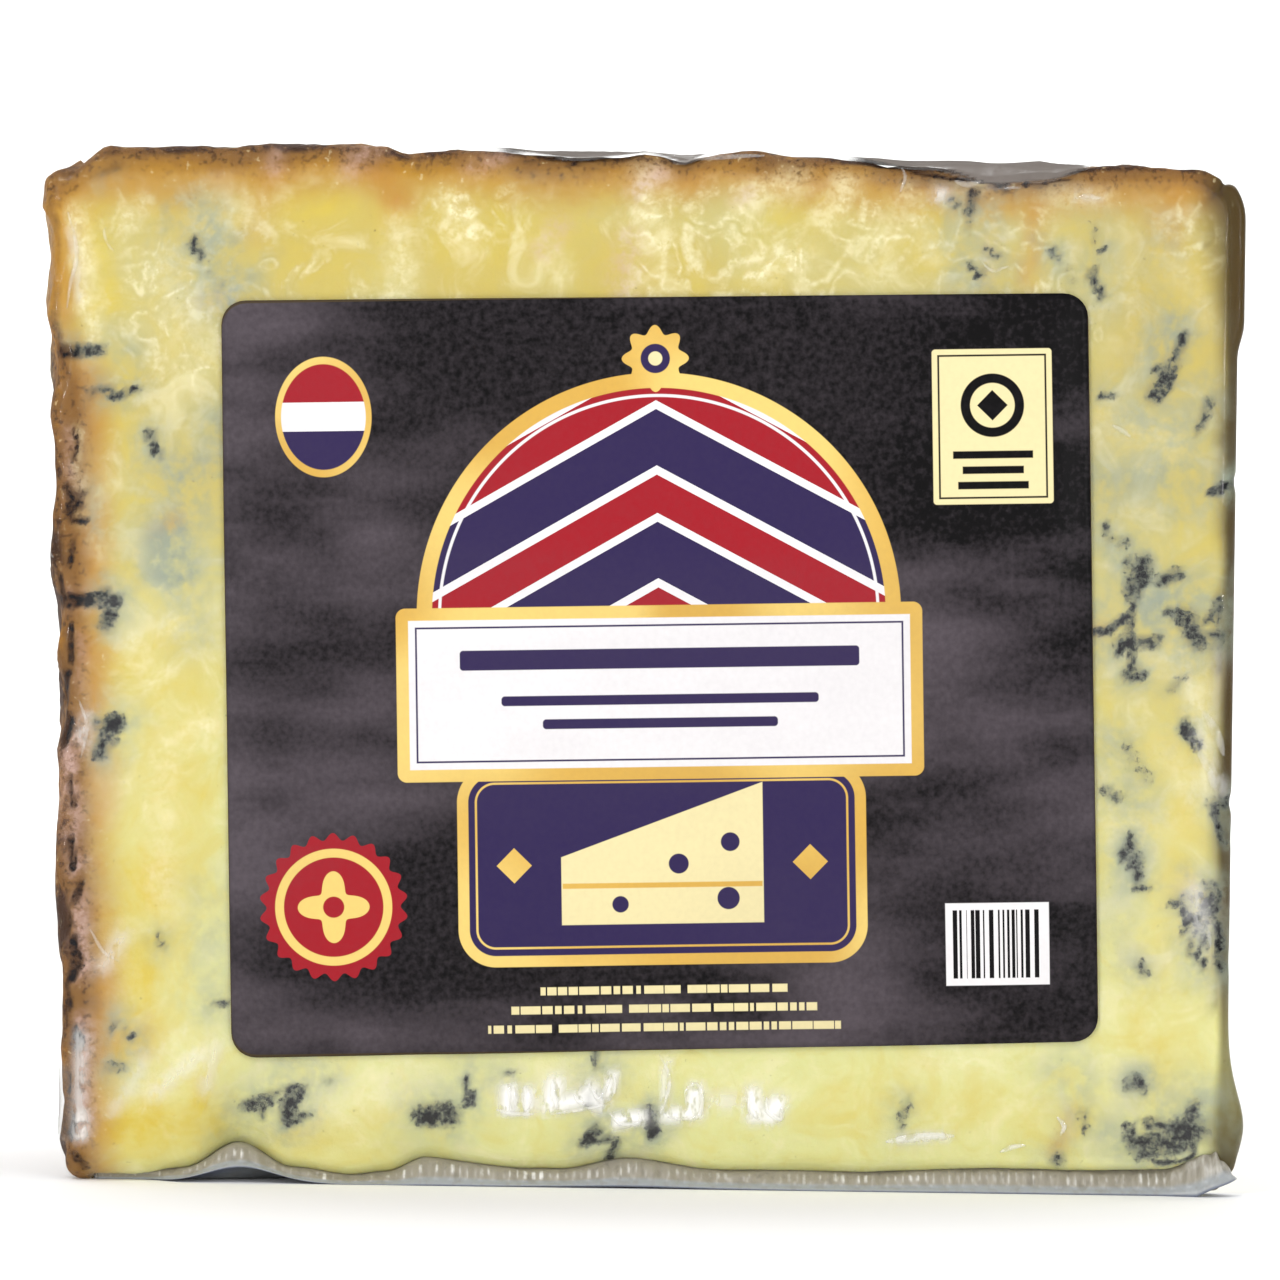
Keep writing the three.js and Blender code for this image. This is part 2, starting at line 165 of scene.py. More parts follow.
# Streaks of blue mould on the front cut face. Each has its place from the rind, its height, its
# length, its slope in degrees, its width and its strength.
FRONT_MOULD = [
    # beside the tip, from the top down
    (88, 81.9, 1.6, 80, 0.7, 0.35), (88.7, 80.6, 1, 15, 0.5, 0.8), (88.5, 77.9, 2.2, 105, 0.8, 1),
    (86.3, 78.6, 1.2, 90, 0.6, 0.45), (95.3, 72.5, 1.6, 70, 0.8, 1), (94.2, 71.1, 0.6, 0, 0.6, 0.6),
    (94, 69.2, 2.4, 60, 1.6, 0.75), (89.3, 68.3, 1.6, 8, 0.4, 0.8), (97.7, 66.7, 2.6, 68, 0.8, 0.7),
    (99.7, 60.5, 2, 20, 0.7, 0.9), (89.4, 56.5, 1.6, 110, 0.6, 0.8), (90.9, 55.7, 0.8, 0, 0.6, 0.8),
    (92.1, 52.7, 2.6, 70, 1.6, 0.9), (94.8, 52.6, 1.6, 25, 0.9, 1), (92, 50.5, 2, 60, 0.6, 0.9),
    (90.4, 48.6, 2.6, 25, 0.6, 0.9), (88.9, 48, 1.8, 5, 0.6, 1), (92, 47.2, 3, 10, 1, 0.8),
    (91.8, 45.6, 2.8, 90, 0.6, 0.7), (91.9, 44.3, 0.8, 0, 0.8, 1), (95.6, 49.3, 2, 150, 0.7, 0.9),
    (96.8, 48.3, 2.4, 120, 1.5, 1), (98.4, 48, 2.4, 0, 0.4, 0.7), (99, 50, 1.2, 90, 0.9, 0.9),
    (98.6, 46.9, 1.4, 5, 0.6, 0.8), (95.7, 43.7, 1.6, 55, 0.9, 0.5), (96.9, 39.2, 1.6, 120, 0.9, 0.9),
    (92.2, 37, 3.2, 120, 1.4, 0.4), (90, 34.2, 1.4, 150, 0.8, 0.7), (91.6, 34.4, 1.6, 5, 0.4, 0.6),
    (99.7, 33.6, 1.8, 10, 0.9, 0.8), (99.4, 31.7, 2.2, 110, 1, 0.8), (92.2, 28.7, 3.4, 105, 0.9, 0.8),
    (92.9, 26.3, 0.9, 0, 0.8, 0.7), (98.9, 25.3, 2.6, 100, 1.2, 0.9), (97.5, 23.4, 3.6, 120, 2.2, 0.5),
    (99.7, 21.3, 3.8, 95, 1, 0.9), (92.4, 9.6, 1, 10, 0.9, 0.8), (88.4, 6.4, 1.8, 90, 1, 0.5),
    (95.5, 4.8, 4.4, 15, 2.3, 1), (97.4, 6.8, 1.8, 75, 0.9, 0.8), (92.4, 5.2, 1.2, 120, 0.9, 0.8),
    # along the foot, from the tip to the rind
    (73, 6.5, 2.6, 80, 0.9, 0.5), (51.4, 5.7, 2, 95, 0.8, 1), (48.2, 3, 1.8, 80, 0.8, 0.9),
    (46.2, 4.2, 1.6, 60, 0.9, 1), (45.9, 8.2, 1.4, 100, 0.8, 0.7), (46.7, 11.1, 1.8, 110, 0.6, 0.8),
    (39, 9.6, 0.7, 0, 0.6, 0.8), (35.6, 8.5, 1.8, 100, 0.8, 0.8), (33.3, 6, 2.4, 10, 1.6, 0.9),
    (23.7, 9, 0.6, 0, 0.6, 0.7), (20.8, 6.6, 2.6, 70, 1.2, 1), (18, 6.9, 2.2, 30, 1.2, 0.9),
    # beside the rind, from the foot up
    (2.2, 12.3, 1.4, 90, 0.8, 1), (1.5, 15.6, 2.2, 92, 0.6, 0.8), (1.6, 4.8, 1.6, 80, 0.8, 0.9),
    (1.3, 8.4, 1.6, 90, 0.6, 0.75), (2.6, 1.6, 1.4, 140, 0.8, 0.6), (1.2, 22, 1.6, 90, 0.6, 0.8),
    (1.4, 33, 2.4, 95, 0.6, 0.75), (1, 46, 2.6, 90, 0.6, 0.8), (1.2, 53.5, 2, 85, 0.6, 0.7),
    (1.4, 62.5, 2.6, 95, 0.5, 0.75), (5.8, 9.8, 1.4, 0, 0.7, 0.7), (6.8, 12.4, 1.2, 140, 0.5, 0.7),
    (5.5, 13.3, 0.8, 70, 0.6, 0.8), (14.8, 15.2, 0.9, 0, 0.7, 0.9), (2, 19, 3, 90, 0.9, 0.9),
    (2.3, 24.6, 1.4, 60, 0.8, 0.8), (9.5, 20.5, 1.6, 100, 0.8, 0.45), (1.6, 28, 1.8, 90, 0.8, 0.9),
    (4.6, 38, 2.4, 60, 1.2, 1), (0.9, 38.3, 2, 90, 0.9, 1), (1, 42.2, 2.4, 90, 0.8, 0.9),
    (2.8, 49.6, 5.4, 0, 1, 1), (4.6, 48.4, 1.8, 70, 1.1, 1), (1.7, 57.6, 2, 60, 0.8, 0.9),
    (8.6, 62.9, 1.8, 110, 0.6, 0.7), (3.7, 67.2, 1, 10, 0.8, 0.8), (6.1, 67.4, 1.2, 5, 0.7, 0.6),
    (1.9, 70.5, 3.6, 5, 1, 1), (11.9, 79.5, 1.2, 120, 0.8, 0.9), (13.4, 77, 1.6, 130, 0.8, 0.3),
    (3.9, 86, 1.6, 35, 0.9, 0.45),
    # along the top
    (70.2, 88, 1.2, 0, 0.5, 0.6), (43.6, 87.6, 0.8, 30, 0.6, 0.5), (39.8, 87.4, 0.7, 10, 0.6, 0.45),
    (74.4, 86.9, 3.4, 172, 0.5, 0.8), (77.6, 86.5, 2.6, 165, 0.5, 0.9), (84.5, 86.4, 2.4, 5, 0.4, 0.7),
    (82.4, 86.2, 1.6, 0, 0.3, 0.6), (80, 85.9, 1.2, 150, 0.7, 1), (77.5, 84.4, 1.2, 90, 0.9, 1),
    (75.8, 84.6, 0.9, 150, 0.7, 0.6), (77.5, 82.7, 1.8, 90, 0.7, 0.5), (79.8, 80.2, 1.2, 150, 0.8, 0.6),
    (77.8, 78.7, 1.4, 140, 0.6, 0.9), (84.7, 80.1, 1, 150, 0.6, 0.8),
]

# Mould along cracks between the curds: the places that each crack passes, from the rind and up.
MOULD_WIDTH, MOULD_STRENGTH = 0.36, 0.95
FRONT_CRACKS = [
    ((91.3, 54), (91.8, 52.5), (92.3, 51.3), (91.9, 50.2), (90.9, 49), (89.9, 48.3), (88.8, 48.2)),
    ((93, 53.2), (92.9, 52.2), (92.2, 51.4)), ((91.7, 49.3), (91.6, 47.9), (91.7, 46.4), (91.9, 44.5)),
    ((90.6, 45.9), (91.3, 47), (93.5, 47.7)),
    ((94.7, 49.7), (95.6, 49.2), (96.2, 48.6), (96.8, 47.9), (98.4, 48.1), (99.4, 48)),
    ((99, 50.5), (98.7, 49.6), (98, 49)), ((98.2, 60.2), (99.2, 60.5), (100, 60.7)),
    ((96.6, 40.3), (96.2, 39.4), (96.9, 38.7)), ((91.3, 29.3), (91.9, 28.2), (92.3, 27)),
    ((95.3, 25.2), (96.3, 24.6), (97, 23.9), (96.3, 22.4), (96.9, 21), (98.4, 19.8)),
    ((98.9, 26.4), (98.3, 24.8), (98, 23.4)), ((92.6, 9.4), (93.2, 9.7), (93.6, 9.3)),
    ((92.1, 4.9), (93.3, 4.5), (93.9, 3.7), (94.8, 3.6), (94.9, 4.6)),
    (
        (93.3, 6.7), (94.2, 6.2), (95, 5.9), (96, 6.1), (97.1, 5.6),
        (97.8, 4.5), (97.7, 3.2), (96.6, 2.6), (95, 2.7),
    ),
    ((97.3, 5.7), (97.7, 6.6), (97.6, 7.3)), ((51.3, 6.6), (51.5, 5.6), (51.8, 5)),
    ((46, 4.6), (46.9, 3.9), (47.6, 4.5), (48.3, 3.6), (48, 2.9)),
    ((33, 5.3), (32.6, 6.6), (33.6, 6.9), (34.6, 6.2), (33.9, 5.2)),
    ((35.5, 9.1), (36.1, 8.2), (35.9, 7.4)),
    ((17.6, 6.9), (18.3, 7.5), (19.4, 7.3), (20.4, 8), (21.4, 7.4), (21.3, 6.6), (20.4, 6.2)),
    ((20.2, 5.3), (21.2, 5.4), (22, 5.8)), ((18.4, 7), (17.9, 6.2), (18.1, 5.6)),
    ((0.5, 51), (0.3, 49.6), (1, 48.8), (2.2, 49.3), (3.2, 49.8), (4.2, 50.4), (4.7, 49.2), (4.5, 47.9)),
    ((3.9, 39), (4.2, 37.6), (3.8, 36.4)), ((4.4, 38.4), (5.6, 37.8)), ((1.3, 56.3), (2.4, 56.1)),
    ((0.9, 59.2), (1.6, 58.6), (1.2, 57.4), (2.4, 57.6)), ((0.1, 70.2), (1.6, 70.2), (3.1, 70.7)),
    ((3.6, 67.3), (5, 67), (6.4, 67.5)), ((7.6, 63.6), (8.2, 62.9), (8.5, 62.3)),
    ((77.4, 79.2), (77.8, 78.5), (78.8, 78.6)), ((93.2, 70.3), (94.3, 69.6), (94.6, 68.4), (94, 67.8)),
]

# Soft blue-green clouds in the paste, in the terms of the streaks.
FRONT_CLOUDS = [
    (13, 78.5, 6, 125, 3.4, 0.8), (10.5, 56, 7, 80, 4.2, 0.75), (13.5, 62, 5, 90, 3, 0.5),
    (13.5, 20, 8, 90, 3, 0.45), (77.8, 81.5, 6, 95, 3, 0.7), (88.5, 79, 5, 95, 2.6, 0.5),
    (93.5, 70, 8, 65, 3, 0.7), (92, 61, 7, 20, 4.5, 0.55), (96, 64, 9, 85, 3.4, 0.5),
    (93.5, 76.5, 9, 90, 3, 0.35), (11.5, 49.5, 5, 90, 2.4, 0.5), (93.5, 49.5, 8, 20, 3.6, 0.8),
    (97.5, 48.5, 4, 60, 2.6, 0.8), (91.5, 36, 5, 110, 2.8, 0.6), (91, 26.5, 6, 90, 2.6, 0.5),
    (97.5, 23, 6, 100, 2.4, 0.7), (95, 6, 6, 15, 3.6, 0.8), (88, 8, 6, 120, 2.6, 0.45),
    (47, 7, 8, 90, 2.8, 0.6), (34, 7, 5, 30, 3, 0.5), (19, 7.5, 6, 40, 3, 0.6), (3, 49, 5, 0, 2.4, 0.7),
    (4, 38, 4, 40, 2.4, 0.6), (3, 70, 5, 0, 2.2, 0.6),
]

# Painted shade beside the tip, where the wedge turns away from the lamps, in the same terms.
PAINTED_TIP_SHADES = [
    (100.3, 45, 5, 97, 0.7, 0.7), (100, 38, 8, 95, 0.8, 0.75), (100.2, 30, 8, 88, 0.7, 0.6),
    (99.2, 80.4, 3, 160, 0.35, 0.6), (99.8, 85, 5, 130, 1.2, 0.25), (99.8, 62.5, 12, 92, 0.9, 0.9),
    (99.6, 46.5, 4, 92, 0.9, 0.85), (100.1, 75, 5, 92, 0.7, 0.5), (99.5, 18.5, 4, 92, 0.8, 0.55),
]

# Patches of another colour on the front, in the terms of the streaks.
FRONT_PATCHES = {
    "orange": [
        (0, 79, 10, 92, 1.2, 0.5), (6, 84.6, 9, 176, 1.6, 0.4), (1.6, 66, 5, 95, 1.8, 0.8),
        (2.2, 53.6, 5, 88, 1.9, 0.95), (2.2, 46.5, 4, 100, 1.2, 0.8), (3.4, 42.5, 4, 75, 1.2, 0.7),
        (4.2, 33.5, 5, 80, 1.6, 0.4), (4.2, 14, 6, 85, 1.5, 0.6), (6.2, 12.5, 4, 20, 1.4, 0.4),
        (2.6, 4.4, 6, 95, 0.9, 0.5), (27.6, 85.4, 4, 130, 1.6, 0.8), (17.4, 83.5, 6, 70, 1.2, 0.35),
        (51.6, 86.5, 5, 160, 1.4, 0.45), (83.1, 82.4, 4, 85, 0.8, 0.7), (82.5, 79.2, 3, 80, 1.1, 0.5),
        (94.8, 83.8, 3, 80, 1.6, 0.55), (97.5, 86, 6, 165, 1.8, 0.45), (86.6, 5.4, 4, 75, 0.9, 0.5),
        (89, 48.2, 0.6, 0, 0.6, 0.7), (9.4, 56, 1.6, 30, 1, 0.5),
    ],
    "gold": [
        (2.6, 79, 8, 98, 2.2, 0.7), (4.6, 63, 9, 90, 2.2, 0.5), (7, 54.5, 5, 80, 2, 0.6),
        (7, 44, 9, 0, 4, 0.6), (10, 33, 12, 90, 3.6, 0.55), (7.6, 19, 14, 80, 3.6, 0.95),
        (8, 5, 9, 10, 3.2, 0.9), (24, 3.6, 9, 0, 2.2, 0.5), (38, 80.5, 8, 0, 2.2, 0.45),
        (21.5, 83, 4, 0, 1.8, 0.5), (62, 82.5, 6, 30, 2, 0.4), (74.6, 81, 4, 90, 1.4, 0.5),
        (97, 57, 8, 90, 3, 0.35), (96.4, 32, 8, 80, 2.8, 0.35), (94.5, 15, 10, 90, 3.8, 0.4),
        (78, 7, 20, 0, 2.8, 0.3),
    ],
    # painted film sheen: the paste paler where the film clings or catches the lamps
    "pale_and_film_sheen": [
        (1.9, 78.5, 8, 99, 0.9, 0.8), (2.9, 72, 3, 96, 0.8, 0.9), (1.9, 60, 8, 92, 0.5, 0.4),
        (3.6, 56, 6, 86, 0.5, 0.4), (9.5, 11, 6, 45, 1, 0.4), (10.5, 74, 8, 110, 2.4, 0.4),
        (14, 81.8, 4, 10, 1.4, 0.5), (6.2, 82.4, 2, 30, 0.8, 0.5), (29, 78, 7, 90, 1.3, 0.6),
        (34, 82.6, 4, 120, 1, 0.5), (42, 79, 4, 110, 0.8, 0.5), (50.4, 83, 6, 95, 1.5, 0.55),
        (60.6, 85, 4, 25, 1.2, 0.7), (61.4, 79, 4, 20, 1.2, 0.5), (66.2, 84.3, 3, 60, 1.2, 0.6),
        (70.6, 81, 6, 70, 1.3, 0.55), (73.4, 82.4, 6, 115, 0.9, 0.55), (77.6, 85.6, 2.4, 0, 0.6, 0.5),
        (86.6, 84.9, 4, 0, 1, 0.5), (96.6, 77, 7, 125, 1.1, 0.35), (92, 65, 5, 160, 1.8, 0.4),
        (97.4, 41.5, 6, 112, 0.9, 0.8), (98.4, 36, 8, 100, 0.7, 0.9), (96.2, 35.5, 5, 118, 1.2, 0.5),
        (93.5, 46, 5, 0, 1.6, 0.4), (92.5, 31.5, 4, 20, 1.8, 0.35), (8, 46.7, 5, 20, 0.9, 0.55),
        (11.8, 38.4, 4, 20, 0.9, 0.6), (9.4, 29, 10, 92, 1.6, 0.45), (11.5, 10, 6, 35, 1.2, 0.55),
        (26.5, 7.5, 9, 15, 2.6, 0.5), (42.5, 8.6, 7, 0, 1.6, 0.45), (59.5, 8.4, 6, 0, 1.3, 0.4),
        (77, 11.6, 7, 5, 1.2, 0.45), (98.4, 21, 7, 110, 1.2, 0.5),
    ],
    # pink-white fat, partly painted reflection of the film
    "lilac_fat_and_sheen": [
        (1.2, 61, 6, 100, 0.6, 0.4), (2.6, 49.6, 3, 0, 0.9, 0.7), (2.2, 44, 5, 95, 0.6, 0.3),
        (2.6, 38.3, 2, 80, 1, 0.8), (1.6, 31.5, 9, 95, 1, 0.9), (2.6, 21, 6, 95, 1, 0.75),
        (3, 10, 7, 92, 0.8, 0.85), (3, 5, 2, 80, 0.8, 0.95), (13.4, 75.2, 2, 0, 0.8, 0.5),
        (18.2, 87, 2, 90, 0.7, 0.5), (25.5, 87.3, 2.4, 60, 1.2, 0.55), (36.4, 87.4, 2.6, 30, 0.9, 0.5),
        (49.9, 85.6, 2.6, 40, 0.8, 0.7), (41.8, 81, 2.2, 60, 1, 0.6), (48.4, 78.2, 5, 90, 1.5, 0.5),
        (58.4, 84.4, 1.6, 20, 0.5, 0.5), (79.2, 79.4, 3, 80, 1, 0.4), (97.9, 24, 4, 110, 1.5, 0.6),
    ],
}

# Pinched folds of the film on the front: the places they pass, and their width and height.
FRONT_FOLDS = [
    # down the rind's edge
    (((0.7, 82.5), (1.5, 79.1), (1, 76.5), (0.7, 74.3)), 0.4, 0.2),
    (((3.9, 81.3), (3.8, 80.7), (4.2, 79.7), (4.6, 79.3)), 0.3, 0.12),
    (((2.2, 41), (2.9, 38.6), (2.4, 36)), 0.4, 0.16), (((3.4, 21.5), (4.6, 19.6), (5.9, 18.8)), 0.35, 0.14),
    # the fingers in the middle of the foot
    (((39.3, 8.9), (39.6, 7.6), (39.5, 6.4)), 1, 0.24),
    (((40.6, 8.7), (40.9, 7.4), (40.6, 6.5)), 0.8, 0.22),
    (((38.2, 6.6), (39.6, 6.3), (41.4, 6.3)), 0.5, 0.16),
    (((43, 9.2), (43.1, 7.9), (43.4, 6.7)), 0.7, 0.22), (((44.8, 8), (45.2, 7.4), (45.8, 7.2)), 0.5, 0.18),
    (((42.8, 6.3), (45.4, 6.7), (48, 7.2)), 0.36, 0.17),
    (((46, 9), (46.9, 7.6), (47.5, 8.6), (47.9, 9.6)), 0.45, 0.2),
    (((46.4, 8.2), (47.1, 7.5), (48, 7.6)), 0.6, 0.18), (((48.2, 9.8), (48.3, 8.6), (48, 7.6)), 0.3, 0.14),
    (((47.9, 6.4), (48.8, 5.4), (50.4, 5.5), (50.3, 6.6)), 0.45, 0.19),
    (((52, 11.5), (52.9, 9.6), (52.6, 7.5), (52, 6.2)), 0.4, 0.19),
    (((52.7, 6.2), (54, 6), (55.4, 6.3), (55.7, 7.8), (55.2, 9), (54.3, 8.4), (54.4, 7)), 0.42, 0.2),
    (((59.9, 8.3), (59.8, 7), (60.6, 6)), 0.6, 0.19),
    (((61.2, 8), (61.3, 6.8), (62.4, 6.1), (62.5, 7.2)), 0.55, 0.19),
    (((71.4, 4.3), (74.2, 4.8), (77.2, 4.9)), 0.8, 0.16),
    (((81.2, 3.4), (82.4, 3.9), (83.4, 4)), 0.5, 0.12), (((86, 6.6), (86.6, 5.8), (86.3, 4.9)), 0.5, 0.14),
    # beside the tip
    (((97.9, 41.4), (99, 39.6), (99.8, 37.6)), 0.9, 0.24),
    (((97, 38.9), (98.4, 36.4), (99.3, 33.8)), 0.7, 0.2), (((98.6, 22.9), (98.8, 21.3)), 0.4, 0.22),
    (((89.8, 65.6), (90.6, 65.2), (91.4, 64.6)), 0.5, 0.22),
    # along the top
    (((71.6, 87.3), (71.9, 86.4), (71.5, 85.2)), 0.34, 0.22),
    (((76.1, 86.2), (77.2, 85.9), (78.4, 86.2)), 0.6, 0.26),
    (((80.3, 85.6), (81.1, 85.7), (81.8, 85.7)), 0.34, 0.22), (((74.6, 85), (75.2, 85)), 0.6, 0.22),
    (((78.6, 79.3), (79.4, 78.6), (80.8, 79)), 0.34, 0.18),
    (((86.4, 84.9), (87.5, 85.1), (88.6, 84.9)), 0.5, 0.2),
]

# Places where the film stands off and looks milky, and painted highlights where it catches the lamps, in the
# same terms.
FRONT_MILK_AND_HIGHLIGHTS = [
    (2.7, 38.6, 1.4, 80, 0.6, 0.4), (2.8, 4.8, 1.4, 90, 0.7, 0.7), (2.7, 9.5, 6, 90, 0.6, 0.4),
    (5.4, 19.6, 3, 60, 0.8, 0.3), (1.4, 78, 6, 98, 0.4, 0.25), (7.6, 9.2, 3, 72, 0.8, 0.22),
    (10.9, 9.2, 4.6, 42, 0.8, 0.28), (13.8, 9.8, 3.4, 75, 0.7, 0.28), (6.2, 7, 2.4, 55, 0.6, 0.25),
    (39.3, 7.4, 1.6, 90, 0.8, 1), (40.9, 7.3, 1.4, 90, 0.6, 1), (43, 7.8, 2, 80, 0.9, 0.95),
    (44.6, 7.4, 2.2, 15, 0.8, 0.9), (46.6, 7.8, 1.6, 120, 0.8, 0.8), (47.9, 8.8, 1.8, 80, 0.5, 0.9),
    (49.3, 5.9, 2.2, 10, 0.7, 1), (52.6, 8.6, 4.4, 88, 0.4, 0.6), (54, 6.4, 2.4, 5, 0.7, 0.9),
    (55, 7.7, 1.6, 80, 0.7, 0.95), (57.6, 7.6, 1.4, 0, 0.9, 0.4), (60.1, 7.3, 1.6, 100, 0.8, 1),
    (61.8, 6.9, 1.2, 60, 0.8, 1), (74.4, 4.7, 4.4, 5, 0.5, 0.45), (98.9, 43.5, 5, 85, 0.7, 0.12),
    (98.6, 37, 5, 115, 0.6, 0.25), (97.7, 24.5, 3, 100, 1, 0.3), (74.9, 85, 0.4, 0, 0.6, 0.5),
    (87.5, 85, 1.8, 0, 0.5, 0.22),
]

# The width of the camera's sensor in millimetres, and how far it sees in metres.
SENSOR_WIDTH, VIEW_DEPTH = 36, 20

# Each lamp: its name, its place, the point that it faces and its size, in metres, and its brightness.
PACK_MIDDLE = (0, 0, 0.045)
LAMPS = [
    ("key", (-0.45, -0.85, 0.95), PACK_MIDDLE, (0.26, 0.26), "key_radiance"),
    ("fill", (-0.75, -1.15, 0.5), PACK_MIDDLE, (0.7, 0.9), "side_radiance"),
    ("spark", (-0.5, -0.8, 0.16), PACK_MIDDLE, (0.09, 0.16), "spark_radiance"),
    ("fill", (0.75, -1.15, 0.5), PACK_MIDDLE, (0.7, 0.9), "side_radiance"),
    ("spark", (0.5, -0.8, 0.16), PACK_MIDDLE, (0.09, 0.16), "spark_radiance"),
    ("backdrop", (0, 0.75, 0.5), (0, 3, 0.5), (1.6, 0.8), "back_radiance"),
    ("floor_light", (0, 0.6, 1.1), (0, 0.6, 0), (3, 0.7), "back_radiance"),
]

# Creases pressed into the label, in the terms of the mould, with their heights at the end.
LABEL_CREASES = [
    (74, 57.4, 4, 172, 0.6, 0.1), (82, 57.6, 5, 165, 0.6, 0.12), (86, 55.4, 3.4, 125, 0.6, 0.12),
    (80, 40, 9, 100, 0.9, 0.07), (24, 27, 14, 20, 1.4, 0.08), (31, 70, 10, 160, 1.2, 0.07),
    (70, 20, 16, 12, 1.6, 0.08), (20, 50, 12, 80, 1.2, 0.07),
]


def ink(red, green, blue):
    """A colour as Blender keeps it, from its red, green and blue out of 255."""
    shares = (red / 255, green / 255, blue / 255)
    return tuple(((share + 0.055) / 1.055) ** 2.4 if share > 0.04 else share / 12.92 for share in shares)


def length(name, description, default):
    """A size that a user can change, in metres."""
    return FloatProperty(name=name, description=description, default=default, unit="LENGTH")


def colour(name, description, default):
    """A colour that a user can change."""
    return FloatVectorProperty(
        name=name, description=description, default=default, subtype="COLOR", size=3, min=0, max=1
    )


class WedgeSizes(bpy.types.PropertyGroup):
    """The sizes of the wedge, its bag and its label."""

    wheel_radius: length("Wheel radius", "Radius of the wheel the wedge was cut from", 0.106)
    wedge_angle: FloatProperty(
        name="Wedge angle",
        description="Angle between the two cut faces",
        default=math.radians(26),
        subtype="ANGLE",
    )
    pack_height: length("Pack height", "Height of the bag's plain form", 0.0886)
    edge_radius: length("Edge radius", "How round the bag's edges are", 0.0028)
    tip_radius: length("Tip radius", "How round the bag is at the wedge's tip", 0.0016)
    label_width: length("Label width", "Width of the label", 0.0738)
    label_rind_height: length("Label height at the rind", "Height of the label's rind side", 0.0645)
    label_tip_height: length("Label height at the tip", "Height of the label's tip side", 0.0637)
    label_corner: length("Label corner", "Radius of the label's corners", 0.0021)
    label_tilt: FloatProperty(
        name="Label tilt",
        description="How far the label is turned from straight",
        default=math.radians(1.6),
        subtype="ANGLE",
    )


class CheeseColours(bpy.types.PropertyGroup):
    """The colours of the cheese, its mould and its bag."""

    cream: colour("Cream", "The paste where it is palest", ink(187, 177, 115))
    butter: colour("Butter", "The paste where it is yellowest", ink(190, 171, 90))
    # partly a real greener tone, partly painted light that brightens the foot
    lemon_and_painted_light: colour("Lemon", "The paste toward the foot", ink(214, 215, 150))
    gold: colour("Gold", "Yellow patches of the paste", ink(202, 180, 68))
    orange: colour("Orange", "Orange patches near the rind", ink(178, 118, 34))
    tan: colour("Tan", "The paste near the rind", ink(172, 119, 30))
    crust: colour("Crust", "The rind where it is brown", ink(118, 85, 50))
    bark: colour("Bark", "The rind where it is darkest", ink(64, 44, 32))
    dust: colour("Dust", "Pale bloom on the rind", ink(150, 122, 104))
    # painted sheen of the film where it clings, and also the paler curds
    pale_and_film_sheen: colour("Pale", "The paste where the film clings", ink(228, 220, 178))
    # partly pink-white fat, partly painted reflection of the film
    lilac_fat_and_sheen: colour("Lilac", "Pink-white fat under the film", ink(196, 166, 158))
    # painted shade: the paste darkened where the tip turns away from the lamps
    tip_shade: colour("Heel", "The paste at the wedge's tip", ink(72, 57, 28))
    cloud: colour("Cloud", "Blue-green haze in the paste", ink(140, 149, 133))
    mould_edge: colour("Mould edge", "The mould where it is thin", ink(94, 98, 90))
    mould: colour("Mould", "The mould where it is thick", ink(24, 24, 27))
    # partly the film's milky look, partly painted highlight
    milk_and_highlight: colour("Milk", "The film where it stands off the cheese", ink(246, 245, 242))
    # painted shade of the film seen edge-on over hollows
    film_edge_shade: colour("Smoke", "The film where it bridges a hollow", ink(114, 107, 102))
    hem: colour("Hem", "The bag's gathered hem between its ribs", ink(146, 140, 126))
    bead: colour("Bead", "The smooth lower edge of the hem", ink(150, 154, 156))
    rim: colour("Rim", "The very edge of the hem", ink(84, 92, 116))


class LabelColours(bpy.types.PropertyGroup):
    """The colours of the label's print."""

    black: colour("Black", "The label's ground", ink(6, 5, 6))
    # painted sheen of the lamps on the satin ground
    sheen: colour("Sheen", "The label's ground where it is rubbed", ink(84, 76, 82))
    gold: colour("Gold", "Borders and ornaments", ink(204, 162, 76))
    pale_gold: colour("Pale gold", "The light side of the gold", ink(224, 194, 112))
    navy: colour("Navy", "Dark panels", ink(46, 36, 76))
    red: colour("Red", "Red fields", ink(152, 28, 38))
    white: colour("White", "White fields", ink(224, 221, 222))
    cream: colour("Cream", "Cream panels and small rules", ink(222, 209, 160))
    edge: colour("Edge", "The label's cut edge", ink(70, 58, 38))


class StudioSettings(bpy.types.PropertyGroup):
    """The camera, the lamps and the floor."""

    camera_distance: length("Camera distance", "From the camera to the front cut face", 0.55)
    view_width: length("View width", "Width that the camera sees at the front cut face", 0.1088)
    camera_rise: length("Camera rise", "Height of the camera over the middle of the pack", 0.00224)
    camera_aside: length("Camera aside", "How far the camera is toward the rind", 0.00006)
    camera_roll: FloatProperty(
        name="Camera roll",
        description="Turn of the camera about its own line of sight",
        default=math.radians(0.8),
        subtype="ANGLE",
    )
    key_radiance: FloatProperty(name="Key", description="Brightness of the key lamp", default=19)
    side_radiance: FloatProperty(name="Side", description="Brightness of the two side lamps", default=0.8)
    spark_radiance: FloatProperty(name="Spark", description="Brightness of the small low lamps", default=26)
    back_radiance: FloatProperty(
        name="Backdrop", description="Brightness of the backdrop's lamp", default=1.6
    )
    sky: FloatProperty(name="Sky", description="Brightness of the room's soft light", default=0.74)
    floor: colour("Floor", "The floor and the backdrop", ink(252, 252, 252))


# ---------------------------------------------------------------------------------------------
# Forms


def bell(values):
    return np.exp(-values * values)


def eased(values, low, high):
    """Rises smoothly from 0 at low to 1 at high, either way round."""
    share = np.clip((values - low) / (high - low), 0, 1)
    return share * share * (3 - 2 * share)


